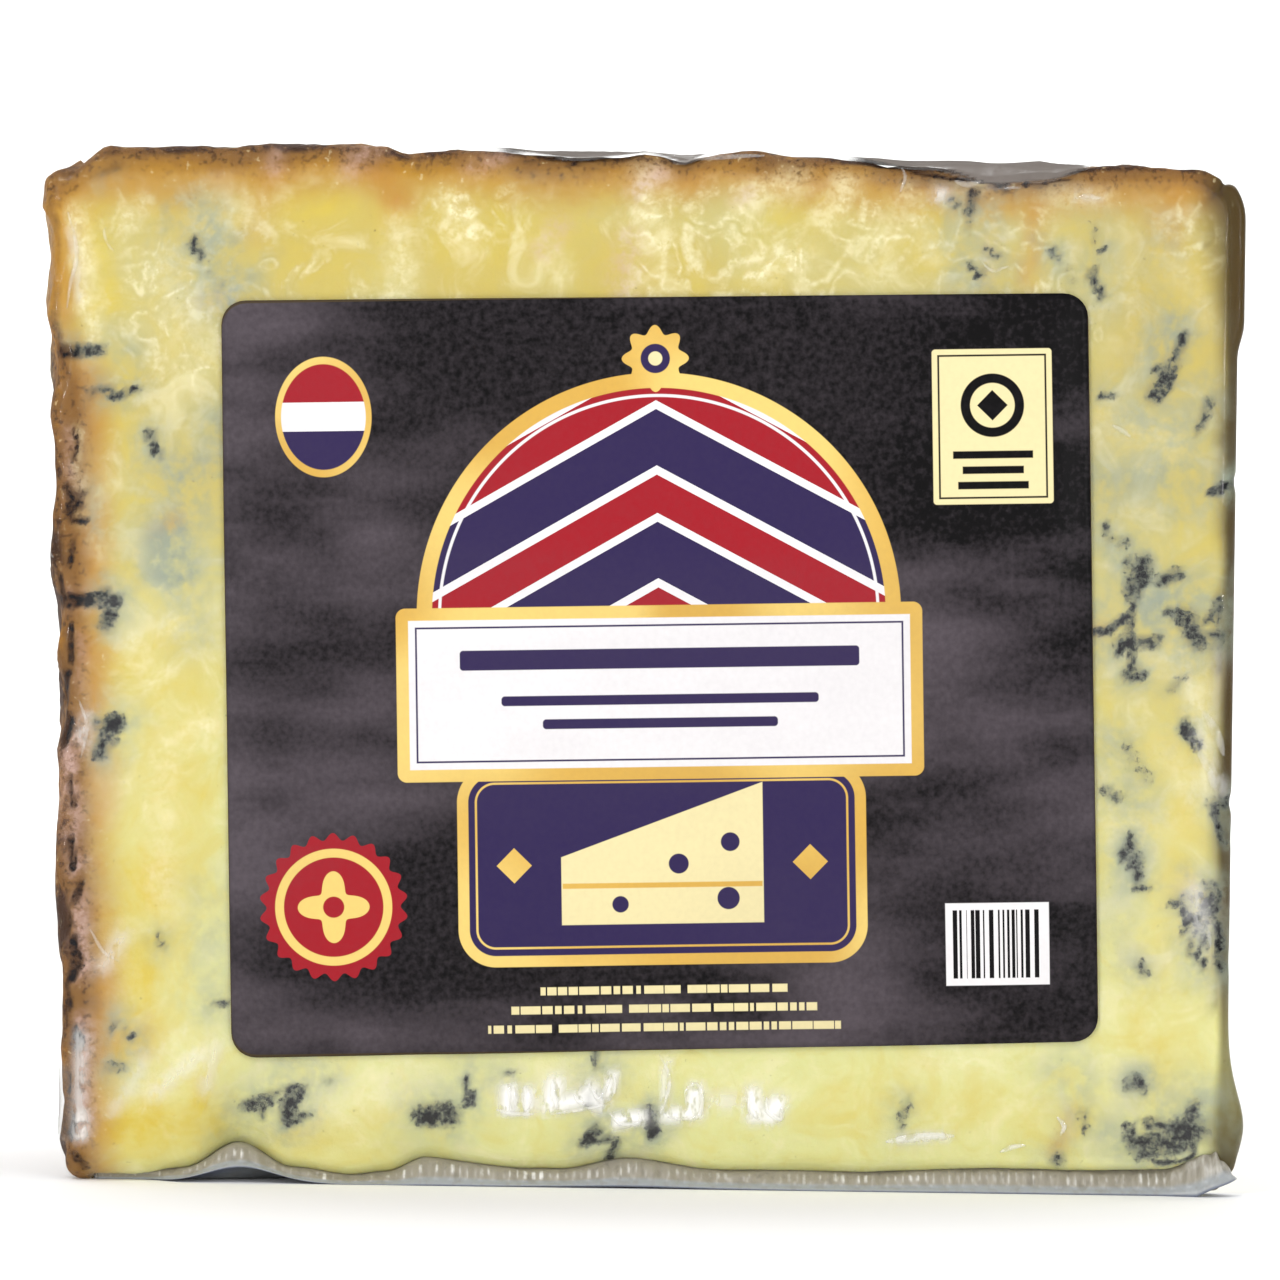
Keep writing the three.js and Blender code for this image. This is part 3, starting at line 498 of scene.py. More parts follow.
def between(first, second, share):
    return first + (second - first) * share


def unit(vectors):
    return vectors / np.linalg.norm(vectors, axis=-1, keepdims=True)


def around_axis(angle, distance):
    """A point at a distance from the wheel's axis, at an angle from the front cut face."""
    return np.stack(np.broadcast_arrays(-np.cos(angle) * distance, np.sin(angle) * distance), -1)


def bumps(u, v, size, phase):
    """Soft bumps between -1 and 1, about `size` from one to the next."""
    k = 2 * math.pi / size
    across = np.sin(k * u + 1.7 * np.sin(0.53 * k * v + phase))
    along = np.sin(0.83 * k * v + 1.4 * np.sin(0.61 * k * u + 2 * phase))
    return (across + along) / 2


def crags(u, v, size, phase):
    """Sharp-edged scales between -1 and 1, as broken rind has."""
    return 1 - 2 * np.abs(bumps(u, v, 2 * size, phase))


def pillows(from_rind, up, phase):
    """How far the soft swellings of a cut face stand out."""
    return CUT_PILLOWS.height * bumps(from_rind, up, CUT_PILLOWS.size, phase)


def valleys(from_rind, up):
    """How far the valleys that climb from the hem draw a cut face in."""
    drawn_in = sum(depth * bell((from_rind - at) / width) for at, depth, width in VALLEYS)
    return drawn_in * np.exp(-up / VALLEY_CLIMB)


def along(line, from_rind):
    """A height that eases from one named place of a line to the next."""
    height = np.full_like(from_rind, line[0][1])
    for (start, low), (end, high) in itertools.pairwise(line):
        height += (high - low) * eased(from_rind, start, end)
    return height


def foot_height(from_rind, behind):
    """How high the foot of the cheese is over the table, on the front cut face or behind it."""
    return between(along(FOOT_LINE, from_rind), along(FOOT_LINE, FOOT_TURN - from_rind), behind)


def squared(first, second):
    """How much farther a square-shouldered edge reaches than a round one, in a direction of two parts."""
    parts = np.abs(first) ** EDGE_POWER + np.abs(second) ** EDGE_POWER
    return np.maximum(parts, 1e-9) ** (-1 / EDGE_POWER)


class Grain:
    """Smooth noise between -1 and 1, from a seeded lattice of random numbers."""

    CELLS = 24

    def __init__(self, seed):
        self.table = np.random.default_rng(seed).uniform(-1, 1, (self.CELLS,) * 3)

    def at(self, points, size):
        place = points / size
        cell = np.floor(place).astype(int)
        part = place - cell
        part = part * part * (3 - 2 * part)
        total = np.zeros(len(points))
        for corner in itertools.product((0, 1), repeat=3):
            weight = np.prod(np.where(corner, part, 1 - part), axis=-1)
            i, j, k = ((cell + corner) % self.CELLS).T
            total += weight * self.table[i, j, k]
        return total

    def layered(self, points, size, layers=3):
        """Noise with finer noise on it, each layer half as large and half as high."""
        return sum(self.at(points, size / 2**layer) / 2**layer for layer in range(layers))


def box_skin(counts):
    """The points of a box's skin, each from -1 to 1 along its axes, and the quads between them."""
    size = [count + 1 for count in counts]
    quads = []
    for axis in range(3):
        u, v = (axis + 1) % 3, (axis + 2) % 3
        i, j = np.meshgrid(np.arange(counts[u]), np.arange(counts[v]), indexing="ij")
        for level, corners in (
            (0, ((0, 0), (0, 1), (1, 1), (1, 0))),
            (counts[axis], ((0, 0), (1, 0), (1, 1), (0, 1))),
        ):
            numbers = []
            for along_u, along_v in corners:
                index = [level, level, level]
                index[u] = i + along_u
                index[v] = j + along_v
                numbers.append((index[0] * size[1] + index[1]) * size[2] + index[2])
            quads.append(np.stack(np.broadcast_arrays(*numbers), -1).reshape(-1, 4))
    quads = np.concatenate(quads)
    numbers, places = np.unique(quads, return_inverse=True)
    grid = np.stack([numbers // (size[1] * size[2]), numbers // size[2] % size[1], numbers % size[2]], -1)
    return 2 * grid / np.array(counts) - 1, places.reshape(-1, 4)


def split(box, counts, edge_rows):
    """Parts each coordinate of a box's skin into its place on the flat and its way round the edge."""
    flat = 1 - 2 * np.asarray(edge_rows) / np.array(counts)
    core = np.clip(box, -flat, flat)
    return core / flat, (box - core) / (1 - flat)


class BagForm:
    """The form of the bag, from the wheel that the wedge was cut from."""

    def __init__(self, sizes):
        self.radius = sizes.wheel_radius / MM
        self.angle = sizes.wedge_angle
        self.height = sizes.pack_height / MM
        self.edge = sizes.edge_radius / MM
        self.tip = sizes.tip_radius / MM
        self.half = self.angle / 2
        self.core_radius = self.radius - self.edge
        self.corner_turn = math.asin(self.edge / self.core_radius)
        self.tip_centre = around_axis(self.half, self.tip / math.sin(self.half))
        self.tip_end = self.tip_centre[0] + self.tip
        self.axis_x = (self.radius - self.tip_end) / 2
        back_centre = around_axis(self.angle - self.corner_turn, self.core_radius)
        label_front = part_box("label")[0].y / MM
        self.axis_y = -label_front - back_centre[1] - self.edge
        self.rind_x = self.axis_x - self.radius

    def skin(self, box, counts, edge_rows):
        """The bag's plain form at each point of a box's skin, and what each point is part of."""
        core, edge = split(box, counts, edge_rows)
        a, b = edge[:, 0], edge[:, 1]
        half_row = 1 / counts[0]
        share = np.clip((1 + half_row - core[:, 0] - np.maximum(0, a)) / (2 + half_row), 0, 1)
        radius = between(self.tip, self.edge, share)
        angle = between(self.corner_turn, self.angle - self.corner_turn, (core[:, 1] + 1) / 2)
        centre = between(self.tip_centre, around_axis(angle, self.core_radius), share[:, None])
        drop = TIP_DROP.height * bell(share * self.core_radius / TIP_DROP.reach)
        low, high = BODY_LIFT + radius, self.height - drop - radius
        level = between(low, high, (core[:, 2] + 1) / 2)
        swept = 0.7 * core[:, 1] + 0.3 * np.arctan2(b, np.maximum(a, 1e-9)) / (math.pi / 2)
        round_tip = around_axis(self.half - swept * (math.pi / 2 - self.half), -1)
        to_back = around_axis(self.angle - math.pi / 2, -1)
        to_cut_face = np.where((b < 0)[:, None], np.array([0, -1]), to_back)
        outward = around_axis(angle, -1) * a[:, None] + np.abs(b)[:, None] * to_cut_face
        length_out = np.linalg.norm(outward, axis=-1, keepdims=True)
        elsewhere = outward / np.maximum(length_out, 1e-9)
        heading = np.where((a > 0)[:, None], round_tip, elsewhere)
        across = np.maximum(np.abs(a), np.abs(b))[:, None]
        normal = unit(np.concatenate([heading * across, edge[:, 2:]], -1))
        start = np.concatenate([centre, level[:, None]], -1)
        skin = SimpleNamespace(start=start, normal=normal, share=share)
        skin.plain = start + normal * radius[:, None]
        upright = np.hypot(a, b)
        turned = np.maximum(upright, 1e-9)
        corner = np.where((a < 0) & (upright > 0), squared(a / turned, b / turned), 1)
        skin.radius = radius * corner * squared(np.hypot(normal[:, 0], normal[:, 1]), normal[:, 2])
        skin.top_depth = self.height - drop - skin.plain[:, 2]
        skin.to_tip = self.tip_end - skin.plain[:, 0]
        skin.top = eased(normal[:, 2], 0.3, 0.95)
        skin.under = eased(-normal[:, 2], 0.2, 0.8)
        skin.rind = eased(-normal[:, 0], 0.3, 0.95)
        skin.tip = eased(normal[:, 0], 0.5, 0.95)
        skin.cut = np.maximum(0, 1 - skin.top - skin.rind - skin.tip)
        skin.behind = (core[:, 1] + 1) / 2
        skin.across = box[:, 1]
        skin.from_rind = skin.plain[:, 0] + self.radius
        return skin

    def relief(self, skin):
        """How far the bag stands out from its plain form, as in the CAD model."""
        x, y, z = skin.plain.T
        shoulder = eased(z, SHOULDER.bottom, SHOULDER.top)
        top = TOP_LUMPS.height * bumps(x, y, TOP_LUMPS.size, 0.6)
        top += 0.5 * CRAGS.height * crags(x, y, CRAGS.size, 1.9)
        rind = RIND_LUMPS.height * bumps(y, z, RIND_LUMPS.size, 2.3)
        rind += CRAGS.height * crags(y, z, CRAGS.size, 0.4) + SHOULDER.rind * shoulder
        tip = SHOULDER.tip * shoulder + EAR.height * bell((z - EAR.middle) / EAR.spread)
        phase = np.where(skin.normal[:, 1] < 0, FRONT_PHASE, BACK_PHASE)
        cut = pillows(skin.from_rind, z, phase)
        return (1 - skin.under) * (skin.top * top + skin.rind * rind + skin.tip * tip + skin.cut * cut)

    def stood(self, points, share):
        """Leans the rind's side out toward the top, and moves the wedge from the axis to its place."""
        lean = share * RIND_LEAN * (points[:, 2] - self.height / 2)
        moved = points + np.array([self.axis_x, self.axis_y, 0])
        moved[:, 0] -= lean
        return moved

    def place(self, skin, outward):
        """The bag's skin moved outward, with its foot and its broken corner as they really are."""
        points = skin.start + skin.normal * (skin.radius + outward)[:, None]
        from_rind = points[:, 0] + self.radius
        points[:, 1] -= skin.across * self.tuck(skin, from_rind, points[:, 2])
        foot = foot_height(from_rind, skin.behind)
        rise = np.maximum(0, points[:, 2] - BODY_LIFT)
        points[:, 2] += (foot - BODY_LIFT) * bell(rise / FOOT_FADE)
        points[:, 2] += along(TOP_LINE, from_rind) * eased(points[:, 2], self.height - 12, self.height - 2)
        self.round_tip_corner(points)
        flake = 1 - eased(from_rind, FLAKE.start, FLAKE.end)
        flake *= bell(np.maximum(0, points[:, 1]) / FLAKE.across)
        points[:, 2] -= FLAKE.depth * flake * eased(points[:, 2], self.height - 9, self.height)
        return self.stood(points, skin.share)

    def round_tip_corner(self, points):
        """Rounds the corner between the top and the tip, as a square's corner is drawn in to a circle."""
        middle_x = self.tip_end + SHOULDER.tip - TIP_CORNER
        middle_z = self.height - TIP_DROP.height - TIP_CORNER
        beyond_x = np.maximum(points[:, 0] - middle_x, 0)
        beyond_z = np.maximum(points[:, 2] - middle_z, 0)
        drawn = np.maximum(beyond_x, beyond_z) / np.maximum(np.hypot(beyond_x, beyond_z), 1e-9)
        inside = (beyond_x > 0) & (beyond_z > 0)
        points[:, 0] = np.where(inside, middle_x + beyond_x * drawn, points[:, 0])
        points[:, 2] = np.where(inside, middle_z + beyond_z * drawn, points[:, 2])

    def tuck(self, skin, from_rind, up):
        """How far the cut faces curl in toward each other above the hem."""
        climbed = np.clip((up - BODY_LIFT) / FOOT_ROLL.height, 0, 1)
        curl = FOOT_ROLL.inward * (1 - climbed) ** 2 + valleys(from_rind, up)
        half_thickness = self.tip + skin.share * self.core_radius * math.tan(self.half)
        return curl * (1 - np.exp(-half_thickness / FOOT_ROLL.room))


def streaks_near(u, v, streaks):
    """How strongly a place feels streaks given by place, length, slope, width and strength."""
    feel = np.zeros_like(u)
    for at_u, at_v, long, slope, width, strength in streaks:
        turn = math.radians(slope)
        along = (u - at_u) * math.cos(turn) + (v - at_v) * math.sin(turn)
        aside = (v - at_v) * math.cos(turn) - (u - at_u) * math.sin(turn)
        beyond = np.maximum(0, np.abs(along) - long / 2)
        feel = np.maximum(feel, strength * bell(np.hypot(beyond, aside) / width))
    return feel


def as_streaks(lines, width, strength):
    """The pieces of bent lines as streaks of one width and strength."""
    streaks = []
    for line in lines:
        for (u, v), (next_u, next_v) in itertools.pairwise(line):
            slope = math.degrees(math.atan2(next_v - v, next_u - u))
            middle = ((u + next_u) / 2, (v + next_v) / 2)
            streaks.append((*middle, math.hypot(next_u - u, next_v - v), slope, width, strength))
    return streaks


def veins_near(points, veins):
    """How strongly a point feels veins given by their two ends, width and strength."""
    feel = np.zeros(len(points))
    for start, end, width, strength in veins:
        line = end - start
        share = np.clip((points - start) @ line / (line @ line), 0, 1)
        distance = np.linalg.norm(points - start - share[:, None] * line, axis=-1)
        feel = np.maximum(feel, strength * bell(distance / width))
    return feel


def scattered_veins(form, kind):
    """Veins through the cheese behind its front cut face, drawn at random from a seed."""
    draw = np.random.default_rng(kind.seed)
    veins = []
    for _ in range(kind.count):
        distance = form.core_radius * math.sqrt(draw.uniform(0.02, 0.98))
        angle = (1 - 0.7 * draw.uniform() ** 2) * form.angle
        x, y = around_axis(angle, distance)
        start = np.array([form.axis_x + x, form.axis_y + y, draw.uniform(2, form.height - 3)])
        line = unit(draw.normal(size=3)) * draw.uniform(*kind.lengths)
        veins.append((start, start + line, draw.uniform(*kind.widths), draw.uniform(0.6, 1)))
    return veins


def label_reach(form, sizes, points):
    """How deep inside the label's outline a point of the front lies, negative outside."""
    u, v = label_flat(form, sizes, points)
    corner = sizes.label_corner / MM
    half_height = (sizes.label_rind_height + sizes.label_tip_height) / 4 / MM
    beyond_u = np.abs(u) - sizes.label_width / 2 / MM + corner
    beyond_v = np.abs(v) - half_height + corner
    outside = np.hypot(np.maximum(beyond_u, 0), np.maximum(beyond_v, 0))
    return corner - outside - np.minimum(np.maximum(beyond_u, beyond_v), 0)


def label_centre():
    """The middle of the label, in millimetres."""
    low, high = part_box("label")
    return (low + high) / 2 / MM


def label_flat(form, sizes, points):
    """A point of the front in the label's own directions, from the label's middle."""
    centre = label_centre()
    x, z = points[:, 0] - centre.x, points[:, 2] - centre.z
    cos, sin = math.cos(sizes.label_tilt), math.sin(sizes.label_tilt)
    return x * cos + z * sin, z * cos - x * sin


def make_piece(name, points, faces, fields=None):
    """A smooth mesh piece from points in millimetres, with a number for each point in each field."""
    mesh = bpy.data.meshes.new(name)
    mesh.from_pydata(points * MM, [], faces)
    if mesh.validate():
        raise RuntimeError(f"{name} has faces that Blender had to mend")
    mesh.shade_smooth()
    for field, values in (fields or {}).items():
        attribute = mesh.attributes.new(field, "FLOAT", "POINT")
        attribute.data.foreach_set("value", values.astype(np.float32))
    piece = bpy.data.objects.new(name, mesh)
    bpy.context.scene.collection.objects.link(piece)
    return piece


# ---------------------------------------------------------------------------------------------
# Finishes


class Worked:
    """A number that nodes work out at each place on a surface."""

    def __init__(self, finish, socket):
        self.finish = finish
        self.socket = socket

    def __add__(self, other):
        return self.finish.maths("ADD", self, other)

    def __radd__(self, other):
        return self.finish.maths("ADD", other, self)

    def __sub__(self, other):
        return self.finish.maths("SUBTRACT", self, other)

    def __rsub__(self, other):
        return self.finish.maths("SUBTRACT", other, self)

    def __mul__(self, other):
        return self.finish.maths("MULTIPLY", self, other)

    def __rmul__(self, other):
        return self.finish.maths("MULTIPLY", other, self)

    def __truediv__(self, other):
        return self.finish.maths("DIVIDE", self, other)

    def __abs__(self):
        return self.finish.maths("ABSOLUTE", self)

    def __neg__(self):
        return self.finish.maths("MULTIPLY", self, -1)


class Finish:
    """One material, and the nodes that work out its colours and numbers."""

    def __init__(self, name):
        self.material = bpy.data.materials.new(name)
        self.material.use_nodes = True
        self.tree = self.material.node_tree
        self.tree.nodes.clear()
        self.place = self.node("ShaderNodeTexCoord").outputs["Object"]

    def node(self, kind, inputs=None, stops=None, **settings):
        """Adds a node, sets it, and then feeds its sockets with values or links."""
        node = self.tree.nodes.new(kind)
        for name, value in settings.items():
            setattr(node, name, value)
        if stops:
            ramp = node.color_ramp
            while len(ramp.elements) < len(stops):
                ramp.elements.new(1)
            for element, (position, tone) in zip(ramp.elements, stops):
                element.position = position
                element.color = (*tone, 1)
        for name, value in (inputs or {}).items():
            self.feed(node.inputs[name], value)
        return node

    def feed(self, socket, value):
        if isinstance(value, Worked):
            value = value.socket
        if isinstance(value, bpy.types.NodeSocket):
            self.tree.links.new(value, socket)
        elif socket.type == "RGBA":
            socket.default_value = (*value[:3], 1)
        else:
            socket.default_value = value

    def maths(self, operation, *values, clamp=False):
        node = self.node("ShaderNodeMath", dict(enumerate(values)), operation=operation, use_clamp=clamp)
        return Worked(self, node.outputs[0])

    def least(self, first, second):
        return self.maths("MINIMUM", first, second)

    def most(self, first, second):
        return self.maths("MAXIMUM", first, second)

    def clamped(self, value):
        return self.maths("ADD", value, 0, clamp=True)

    def rise(self, value, low, high):
        """Rises smoothly from 0 at low to 1 at high."""
        inputs = {"Value": value, "From Min": low, "From Max": high}
        if low > high:
            inputs = {"Value": value, "From Min": high, "From Max": low, "To Min": 1.0, "To Max": 0.0}
        node = self.node("ShaderNodeMapRange", inputs, interpolation_type="SMOOTHSTEP")
        return Worked(self, node.outputs["Result"])

    def field(self, name):
        """A number kept for each point of the mesh."""
        node = self.node("ShaderNodeAttribute", attribute_name=name)
        return Worked(self, node.outputs["Fac"])

    def coordinates(self):
        """The place on the piece, as three numbers in millimetres."""
        node = self.node("ShaderNodeSeparateXYZ", {0: self.place})
        return [Worked(self, node.outputs[axis]) * (1 / MM) for axis in "XYZ"]

    def shifted(self, offset, stretch=(1, 1, 1)):
        """The place moved by an offset in millimetres and stretched."""
        inputs = {0: self.place, 1: tuple(stretch), 2: tuple(part * MM for part in offset)}
        return self.node("ShaderNodeVectorMath", inputs, operation="MULTIPLY_ADD").outputs[0]

    def noise(self, size, detail=2.0, roughness=0.5, offset=(0, 0, 0), stretch=(1, 1, 1), warp=0.0):
        """Noise from 0 to 1 whose lumps are about `size` millimetres apart."""
        inputs = {
            "Vector": self.shifted(offset, stretch),
            "Scale": 1 / (size * MM),
            "Detail": detail,
            "Roughness": roughness,
            "Distortion": warp,
        }
        return Worked(self, self.node("ShaderNodeTexNoise", inputs).outputs["Fac"])

    def mix(self, share, first, second):
        """A colour between two, where share goes from 0 to 1."""
        inputs = {0: share, 6: first, 7: second}
        node = self.node("ShaderNodeMix", inputs, data_type="RGBA", clamp_factor=True)
        return node.outputs[2]

    def painted(self, tone, *coats):
        """A colour under coats of others, each with its share from 0 to 1."""
        for share, coat in coats:
            tone = self.mix(share, tone, coat)
        return tone

    def bands(self, value, stops):
        """Flat bands of colour along a number, each from its stop on."""
        node = self.node("ShaderNodeValToRGB", {0: value}, stops=stops)
        node.color_ramp.interpolation = "CONSTANT"
        return node.outputs[0]

    def shade(self, tone, value):
        """A colour made lighter or darker by a number."""
        scaled = self.node("ShaderNodeVectorMath", {0: tone, "Scale": value}, operation="SCALE")
        return scaled.outputs[0]

    def bump(self, height, normal=None):
        """A normal from a height in millimetres."""
        inputs = {"Strength": 1.0, "Distance": MM, "Height": height}
        if normal is not None:
            inputs["Normal"] = normal
        return self.node("ShaderNodeBump", inputs).outputs[0]

    def principled(self, inputs):
        return self.node("ShaderNodeBsdfPrincipled", inputs).outputs[0]

    def blended(self, share, first, second):
        """One shader over another, where share goes from 0 to 1."""
        return self.node("ShaderNodeMixShader", {0: share, 1: first, 2: second}).outputs[0]

    def surface(self, shader):
        self.node("ShaderNodeOutputMaterial", {"Surface": shader})
        return self.material


def winding(finish):
    """Noise whose middle level winds about in loops, as film clings to cheese."""
    return finish.noise(4.0, detail=2.2, offset=(60, 2, 2), warp=0.3)


def paste_finish(colours):
    """Cream paste with blue mould, and the rind that it darkens to."""
    finish = Finish("blue_cheese")
    field = finish.field
    fine = finish.noise(1.3, detail=3, roughness=0.6, offset=(9, 9, 70))
    speckle = finish.noise(0.6, detail=3, roughness=0.65, offset=(8, 1, 6))
    curds = finish.noise(4.6, detail=4, roughness=0.6, offset=(3, 40, 9), warp=1.0)
    wave = winding(finish)
    loops = finish.most(finish.rise(abs(wave - 0.58), 0.07, 0.0), finish.rise(abs(wave - 0.43), 0.06, 0.0))
    crustiness = field("crust")
    # the paste, which darkens through tan to brown as it nears the rind
    ragged = field("rind_depth") + (fine - 0.5) * 1.2
    tone = finish.painted(
        colours.cream,
        (field("ripe"), colours.butter),
        # lighter toward the foot: greener paste, partly painted light
        (field("low"), colours.lemon_and_painted_light),
        (finish.rise(curds, 0.54, 0.3) * 0.3 + field("gold") * (0.4 + fine), colours.gold),
        (finish.rise(curds, 0.5, 0.75) * 0.5, colours.pale_and_film_sheen),
        (field("orange") * (0.45 + fine), colours.orange),
        (finish.rise(ragged, 5.2, 1.0) * 0.85, colours.tan),
        (finish.rise(ragged, 2.3, 0.2) * 0.9, colours.crust),
    )
    # the rind's own surface: bark, crust and pale bloom
    mottle = field("mottle") + (speckle - 0.5) * 0.7
    outer = finish.painted(
        colours.bark,
        (finish.rise(mottle, 0.35, 0.6), colours.crust),
        (finish.rise(mottle, 0.62, 0.95) * 0.55, colours.tan),
        (finish.rise(mottle + (fine - 0.5), 0.85, 1.1) * 0.6, colours.dust),
    )
    # painted film sheen: pale patches and loops where the film clings; painted glints and dark pinpricks
    # near the rind; and pink-white patches, partly fat and partly painted film reflection
    stipple = finish.rise(fine * 0.5 + speckle * 0.5, 0.4, 0.6)
    loops = loops * finish.rise(curds, 0.36, 0.52) * finish.rise(ragged, 1.6, 4.0)
    cling_sheen = field("pale_and_film_sheen") * (0.4 + stipple * 0.6) + loops * field("cling_sheen") * (0.1 + stipple * 0.55)
    glints = finish.rise(speckle, 0.64, 0.72) * finish.rise(ragged, 5.5, 2.0) * 0.3
    flecks = finish.rise(speckle, 0.46, 0.36) * finish.rise(ragged, 2.6, 0.4)
    haze = field("cloud") * (0.3 + finish.rise(fine * 0.5 + curds * 0.5, 0.36, 0.6) * 0.8)
    # crumbs of mould, with a veil of thin mould round them
    mould = field("mould")
    crumbs = mould * 1.2 + ((speckle - 0.5) * 2.4 + (fine - 0.5) * 1.6) * finish.rise(mould, 0.02, 0.3)
    veil = finish.mix(finish.rise(ragged, 2.8, 1.0), colours.mould_edge, colours.bark)
    tone = finish.painted(
        tone,
        (finish.clamped(crustiness * 1.4 - (fine - 0.3) * 0.8), outer),
        # painted shade toward the tip
        (field("tip_shade"), colours.tip_shade),
        (finish.clamped(cling_sheen * (1 - field("tip_shade"))), colours.pale_and_film_sheen),
        (glints, colours.pale_and_film_sheen),
        (flecks * 0.6 + finish.rise(speckle, 0.3, 0.25) * 0.4, colours.bark),
        # pink-white fat, partly painted reflection of the film
        (field("lilac_fat_and_sheen") * (0.25 + stipple * 0.7), colours.lilac_fat_and_sheen),
        (finish.clamped(haze), colours.cloud),
        (finish.rise(mould, 0.0, 0.75) * 0.62, veil),
        (finish.rise(crumbs, 0.3, 1.05) * 0.7, veil),
    )
    lumps = (fine - 0.5) * 0.08 + (speckle - 0.5) * 0.05
    pits = finish.rise(crumbs, 0.5, 1.1) * 0.12
    crust_lumps = crustiness * ((fine - 0.5) * 0.5 + (curds - 0.5) * 0.9)
    normal = finish.bump(lumps - pits + crust_lumps)
    paste = finish.principled(
        {
            "Base Color": tone,
            "Roughness": 0.4 + crustiness * 0.25,
            "Subsurface Weight": 0.25,
            "Subsurface Radius": (1.0, 0.62, 0.28),
            "Subsurface Scale": 0.0018,
            "Specular IOR Level": 0.08,
            "Normal": normal,
        }
    )
    # dark mould lets no light through, so it stays crisp
    crumb_tone = finish.mix(finish.rise(crumbs, 1.35, 0.7) * 0.75, colours.mould, veil)
    crumb = finish.principled(
        {"Base Color": crumb_tone, "Roughness": 0.7, "Specular IOR Level": 0.1, "Normal": normal}
    )
    return finish.surface(finish.blended(finish.rise(crumbs, 0.6, 1.15), paste, crumb))


# The film's edges don't turn white as they turn away from the eye.
GLOSS_LIMIT = 0.16


def film_finish(colours):
    """Clear plastic film with fine cling marks, milky with painted highlights where it stands off the
    cheese, and painted grey where it is seen edge-on over hollows.
    """
    finish = Finish("clear_film")
    milk_and_highlight, film_edge_shade, crinkle = finish.field("milk_and_highlight"), finish.field("film_edge_shade"), finish.field("crinkle")
    wave = winding(finish)
    loops = finish.rise(abs(wave - 0.5), 0.1, 0.0)
    normal = finish.bump((loops * 0.03 + wave * 0.3) * crinkle)
    streaky = finish.noise(0.8, detail=2, roughness=0.55, offset=(5, 20, 5), stretch=(1, 1, 0.55))
    clear = finish.node("ShaderNodeBsdfTransparent", {"Color": (0.985, 0.985, 0.98)})
    # painted highlights in milky white, and painted shade in grey where the film is seen edge-on
    veil_tone = finish.mix(film_edge_shade * 4, colours.milk_and_highlight, colours.film_edge_shade)
    veil = finish.principled({"Base Color": veil_tone, "Roughness": 1.0, "Specular IOR Level": 0.0})
    haze = milk_and_highlight * (0.3 + finish.rise(streaky, 0.32, 0.52) * 0.75) + film_edge_shade * (0.85 + streaky * 0.2)
    body = finish.blended(finish.clamped(haze), clear.outputs[0], veil)
    gloss = finish.node("ShaderNodeBsdfGlossy", {"Color": (1, 1, 1), "Roughness": 0.07, "Normal": normal})
    fresnel = finish.node("ShaderNodeFresnel", {"IOR": 1.5, "Normal": normal})
    inside = finish.node("ShaderNodeNewGeometry").outputs["Backfacing"]
    share = finish.least(Worked(finish, fresnel.outputs[0]), GLOSS_LIMIT) * finish.field("shine")
    share = share * (1 - Worked(finish, inside))
    return finish.surface(finish.blended(share, body, gloss.outputs[0]))


def hem_finish(colours):
    """Gathered film: dark between its ribs, painted with highlights on them, and pale along its rim."""
    finish = Finish("gathered_film")
    crush = finish.noise(0.7, detail=2, roughness=0.6, offset=(9, 0, 3), stretch=(1, 1, 0.3))
    rim, rib_highlight = finish.field("rim"), finish.field("rib_highlight")
    bead = finish.mix(finish.rise(crush, 0.55, 0.3) * 0.3, colours.bead, colours.hem)
    tone = finish.painted(
        colours.hem,
        # painted highlights on the rib crests
        (finish.rise(rib_highlight + (crush - 0.5) * 1.2, 0.15, 1.2) * 0.62, colours.milk_and_highlight),
        (finish.rise(crush, 0.5, 0.25) * 0.35, finish.shade(colours.hem, 0.6)),
        (finish.rise(rim, 0.6, 0.78), bead),
        (finish.rise(rim, 0.9, 0.98) * 0.75, colours.rim),
    )
    shader = finish.principled(
        {
            "Base Color": tone,
            "Roughness": 0.22 + crush * 0.25,
            "Alpha": finish.clamped(0.85 + crush * 0.3),
            "Normal": finish.bump((crush - 0.5) * 0.08),
        }
    )
    return finish.surface(shader)


